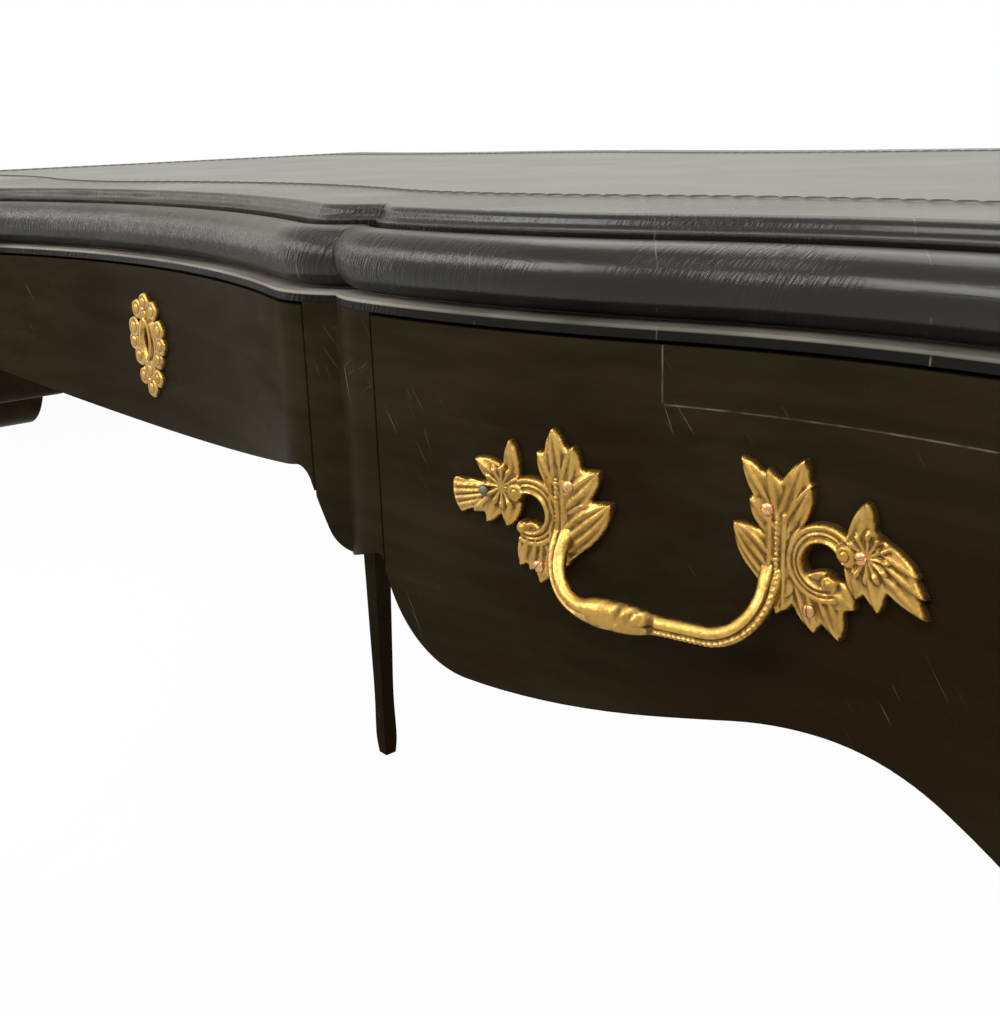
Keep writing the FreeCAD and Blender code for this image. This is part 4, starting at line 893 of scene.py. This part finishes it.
for side, flip_x in (("right", False), ("left", True)):
    for back in (False, True):
        label = "back_" + side if back else side
        body = "carcass" if back else side + "_drawer"
        screws = "mount_screws_back" if back else "pull_screws_" + side
        mesh = mirrored(PULL_MESH, "pull", flip_x, back)
        mount(mesh, "chased_pull_" + label, BRASS, body, "pull_" + label)
        mesh = mirrored(SCREW_MESH, "screws", flip_x, back)
        mount(mesh, "pull_heads_" + label, SCREW_BRASS, body, screws)
        mesh = mirrored(NAIL_MESH, "nail", flip_x, back)
        mount(mesh, "pull_nail_" + label, IRON, body)


# Escutcheon

CENTRE_FACE = Face("centre_drawer_front", ESCUTCHEON_AT, ESCUTCHEON_REACH)


def escutcheon():
    """A shield of petals round a pierced eye."""
    relief = Relief(*ESCUTCHEON_GRID)
    oval = np.hypot(relief.x / SHIELD_WIDE, relief.z / SHIELD_TALL)
    relief.add((oval - 1) * SHIELD_WIDE, 2.0 + 0.6 * np.cos(3 * pi * np.clip(oval, 0, 1)))
    for row in PETALS:
        relief.petal(*row)
    curve = (EYE_TALL ** 2 + EYE_WIDE ** 2) / (2 * EYE_WIDE)
    eye = np.hypot(np.abs(relief.x) + curve - EYE_WIDE, relief.z - EYE_AT) - curve
    relief.add(eye - EYE_RIM, 2.2 + 1.6 * np.exp(-((eye - EYE_RIM / 2) / 0.8) ** 2))
    relief.ease()
    relief.pierce(eye)
    relief.round_off(0.9, 0.8)
    return relief.build("escutcheon", CENTRE_FACE.place)


SHIELD_MESH = escutcheon()
PIN_MESH = round_heads("pins", CENTRE_FACE, [(0, z) for z in PINS], PIN_SEAT, PIN_RADIUS, None)
for back in (False, True):
    label = "_back" if back else ""
    body = "carcass" if back else "centre_drawer"
    pins = "mount_screws_back" if back else "escutcheon_pins"
    mesh = mirrored(SHIELD_MESH, "escutcheon", False, back)
    mount(mesh, "chased_escutcheon" + label, BRASS, body, "escutcheon" + label)
    mesh = mirrored(PIN_MESH, "pins", False, back)
    mount(mesh, "escutcheon_heads" + label, SCREW_BRASS, body, pins)


# Leather

def leather_outline():
    """Points round the top of the leather at even steps, with the unit normals that point inwards."""
    mesh = NODES["leather_inset"].data
    high = max(v.co.z for v in mesh.vertices) - 0.01 * MM
    flat = [p for p in mesh.polygons if all(mesh.vertices[i].co.z > high for i in p.vertices)]
    ways = {tuple(key) for p in flat for key in zip(p.vertices, list(p.vertices[1:]) + [p.vertices[0]])}
    after = {a: b for a, b in ways if (b, a) not in ways}
    first = next(iter(after))
    loop = [first]
    while after[loop[-1]] != first:
        loop.append(after[loop[-1]])
    points = np.array([mesh.vertices[i].co[:2] for i in loop + [first]]) / MM
    run = np.concatenate([[0], np.cumsum(np.hypot(*np.diff(points, axis=0).T))])
    strokes = round(run[-1] / ROPE_PITCH)
    steps = np.arange(strokes * ROPE_STEPS) * run[-1] / (strokes * ROPE_STEPS)
    even = np.stack([np.interp(steps, run, points[:, k]) for k in (0, 1)], axis=1)
    heading = np.roll(even, -3, axis=0) - np.roll(even, 3, axis=0)
    heading /= np.hypot(*heading.T)[:, None]
    return even, np.stack([-heading[:, 1], heading[:, 0]], axis=1)


def tooled_leather():
    """The inset skin with a raised rope line along its edge."""
    outline, inward = leather_outline()
    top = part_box("leather_inset")[1].z / MM
    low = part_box("leather_inset")[0].z / MM
    count = len(outline)
    phase = np.arange(count) / ROPE_STEPS
    rows = []
    hollow = []
    for inset in ROPE_ROWS:
        share = (inset - ROPE_IN) / ROPE_WIDTH
        inside = np.clip(4 * min(share, 1 - share), 0, 1)
        twist = 0.5 + 0.5 * np.cos(2 * pi * (phase - 0.75 * share))
        rise = inside * ROPE_RISE * np.sqrt(twist)
        if inset == ROPE_ROWS[0]:
            rise = rise - ROPE_EDGE_DROP
        at = outline + inward * inset
        rows.append(np.column_stack([at, top + rise]))
        hollow.append(inside * np.sqrt(twist))
    rows.append(np.column_stack([outline, np.full(count, low)]))
    hollow.append(np.zeros(count))
    number = np.arange(count)
    onward = np.roll(number, -1)
    faces = []
    for row in range(len(ROPE_ROWS) - 1):
        this = row * count
        after = this + count
        faces += np.stack([this + number, this + onward, after + onward, after + number], 1).tolist()
    last = (len(ROPE_ROWS) - 1) * count
    base = last + count
    faces.append((last + number).tolist())
    faces += np.stack([base + number, base + onward, onward, number], 1).tolist()
    faces.append((base + number[::-1]).tolist())
    points = (np.concatenate(rows) * MM).tolist()
    mesh = chased_mesh("leather", points, faces, np.concatenate(hollow))
    piece = show(mesh, "tooled_leather", LEATHER, "carcass", SHARP)
    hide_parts("leather_inset")


tooled_leather()


# Finishes of the CAD pieces

for name, node in NODES.items():
    paint_piece(node, finish_of(name))
    node.data.shade_smooth()
    node.data.set_sharp_from_angle(angle=radians(SHARP))


# Stage and light

def white_for_seen_rays(tree):
    """1 for rays that are seen directly, in gloss or through glass."""
    path = tree.nodes.new("ShaderNodeLightPath")
    share = path.outputs["Is Camera Ray"]
    for name in ("Is Glossy Ray", "Is Transmission Ray"):
        larger = tree.nodes.new("ShaderNodeMath")
        larger.operation = "MAXIMUM"
        tree.links.new(share, larger.inputs[0])
        tree.links.new(path.outputs[name], larger.inputs[1])
        share = larger.outputs[0]
    return share


def build_stage():
    """A pale floor that is white where it is seen and keeps a faint shadow."""
    mesh = bpy.data.meshes.new("floor")
    corners = [(x * FLOOR_HALF, y * FLOOR_HALF, 0) for x, y in ((-1, -1), (1, -1), (1, 1), (-1, 1))]
    mesh.from_pydata(corners, [], [(0, 1, 2, 3)])
    floor = bpy.data.objects.new("floor", mesh)
    bpy.context.scene.collection.objects.link(floor)
    material = bpy.data.materials.new("floor")
    material.use_nodes = True
    tree = material.node_tree
    shader = tree.nodes["Principled BSDF"]
    shader.inputs["Base Color"].default_value = (FLOOR_GREY, FLOOR_GREY, FLOOR_GREY, 1)
    shader.inputs["Roughness"].default_value = FLOOR_ROUGH
    glow = tree.nodes.new("ShaderNodeEmission")
    glow.inputs["Strength"].default_value = 1.0
    mix = tree.nodes.new("ShaderNodeMixShader")
    share = tree.nodes.new("ShaderNodeMath")
    share.operation = "MULTIPLY"
    share.inputs[1].default_value = FLOOR_GLOW
    tree.links.new(white_for_seen_rays(tree), share.inputs[0])
    tree.links.new(share.outputs[0], mix.inputs["Fac"])
    tree.links.new(shader.outputs["BSDF"], mix.inputs[1])
    tree.links.new(glow.outputs["Emission"], mix.inputs[2])
    tree.links.new(mix.outputs["Shader"], tree.nodes["Material Output"].inputs["Surface"])
    mesh.materials.append(material)


def build_world():
    """A faintly warm room that is white where it is seen directly."""
    world = bpy.data.worlds.new("studio")
    world.use_nodes = True
    bpy.context.scene.world = world
    tree = world.node_tree
    back = tree.nodes["Background"]
    path = tree.nodes.new("ShaderNodeLightPath")
    tint = tree.nodes.new("ShaderNodeMix")
    tint.data_type = "RGBA"
    tint.inputs[6].default_value = (*ROOM_TINT, 1)
    tint.inputs[7].default_value = (1, 1, 1, 1)
    tree.links.new(path.outputs["Is Camera Ray"], tint.inputs["Factor"])
    tree.links.new(tint.outputs[2], back.inputs["Color"])
    strength = tree.nodes.new("ShaderNodeMapRange")
    strength.inputs["To Min"].default_value = ROOM_LIGHT
    strength.inputs["To Max"].default_value = 1.0
    tree.links.new(white_for_seen_rays(tree), strength.inputs["Value"])
    tree.links.new(strength.outputs["Result"], back.inputs["Strength"])


def lamp(name, at, towards, size, power):
    """A soft rectangular lamp."""
    data = bpy.data.lights.new(name, "AREA")
    data.shape = "RECTANGLE"
    data.size, data.size_y = size
    data.energy = power
    made = bpy.data.objects.new(name, data)
    made.location = at
    made.rotation_euler = (Vector(towards) - Vector(at)).to_track_quat("-Z", "Y").to_euler()
    bpy.context.scene.collection.objects.link(made)


def build_camera():
    """The camera of the photograph."""
    yaw = radians(CAMERA_YAW)
    pitch = radians(CAMERA_PITCH)
    roll = radians(CAMERA_ROLL)
    ahead = Vector((-sin(yaw) * cos(pitch), cos(yaw) * cos(pitch), -sin(pitch)))
    level = Vector((cos(yaw), sin(yaw), 0))
    upright = level.cross(ahead)
    right = level * cos(roll) + upright * sin(roll)
    up = upright * cos(roll) - level * sin(roll)
    data = bpy.data.cameras.new("camera")
    data.sensor_width = SENSOR
    data.lens = CAMERA_FOCUS / IMAGE_LONG_SIDE * SENSOR
    data.clip_start = 0.01
    camera = bpy.data.objects.new("camera", data)
    camera.matrix_world = Matrix((right, up, -ahead)).transposed().to_4x4()
    camera.location = CAMERA_AT
    bpy.context.scene.collection.objects.link(camera)
    bpy.context.scene.camera = camera


build_stage()
build_world()
build_camera()
for row in LAMPS:
    lamp(*row)
bpy.context.scene.view_settings.view_transform = "Standard"
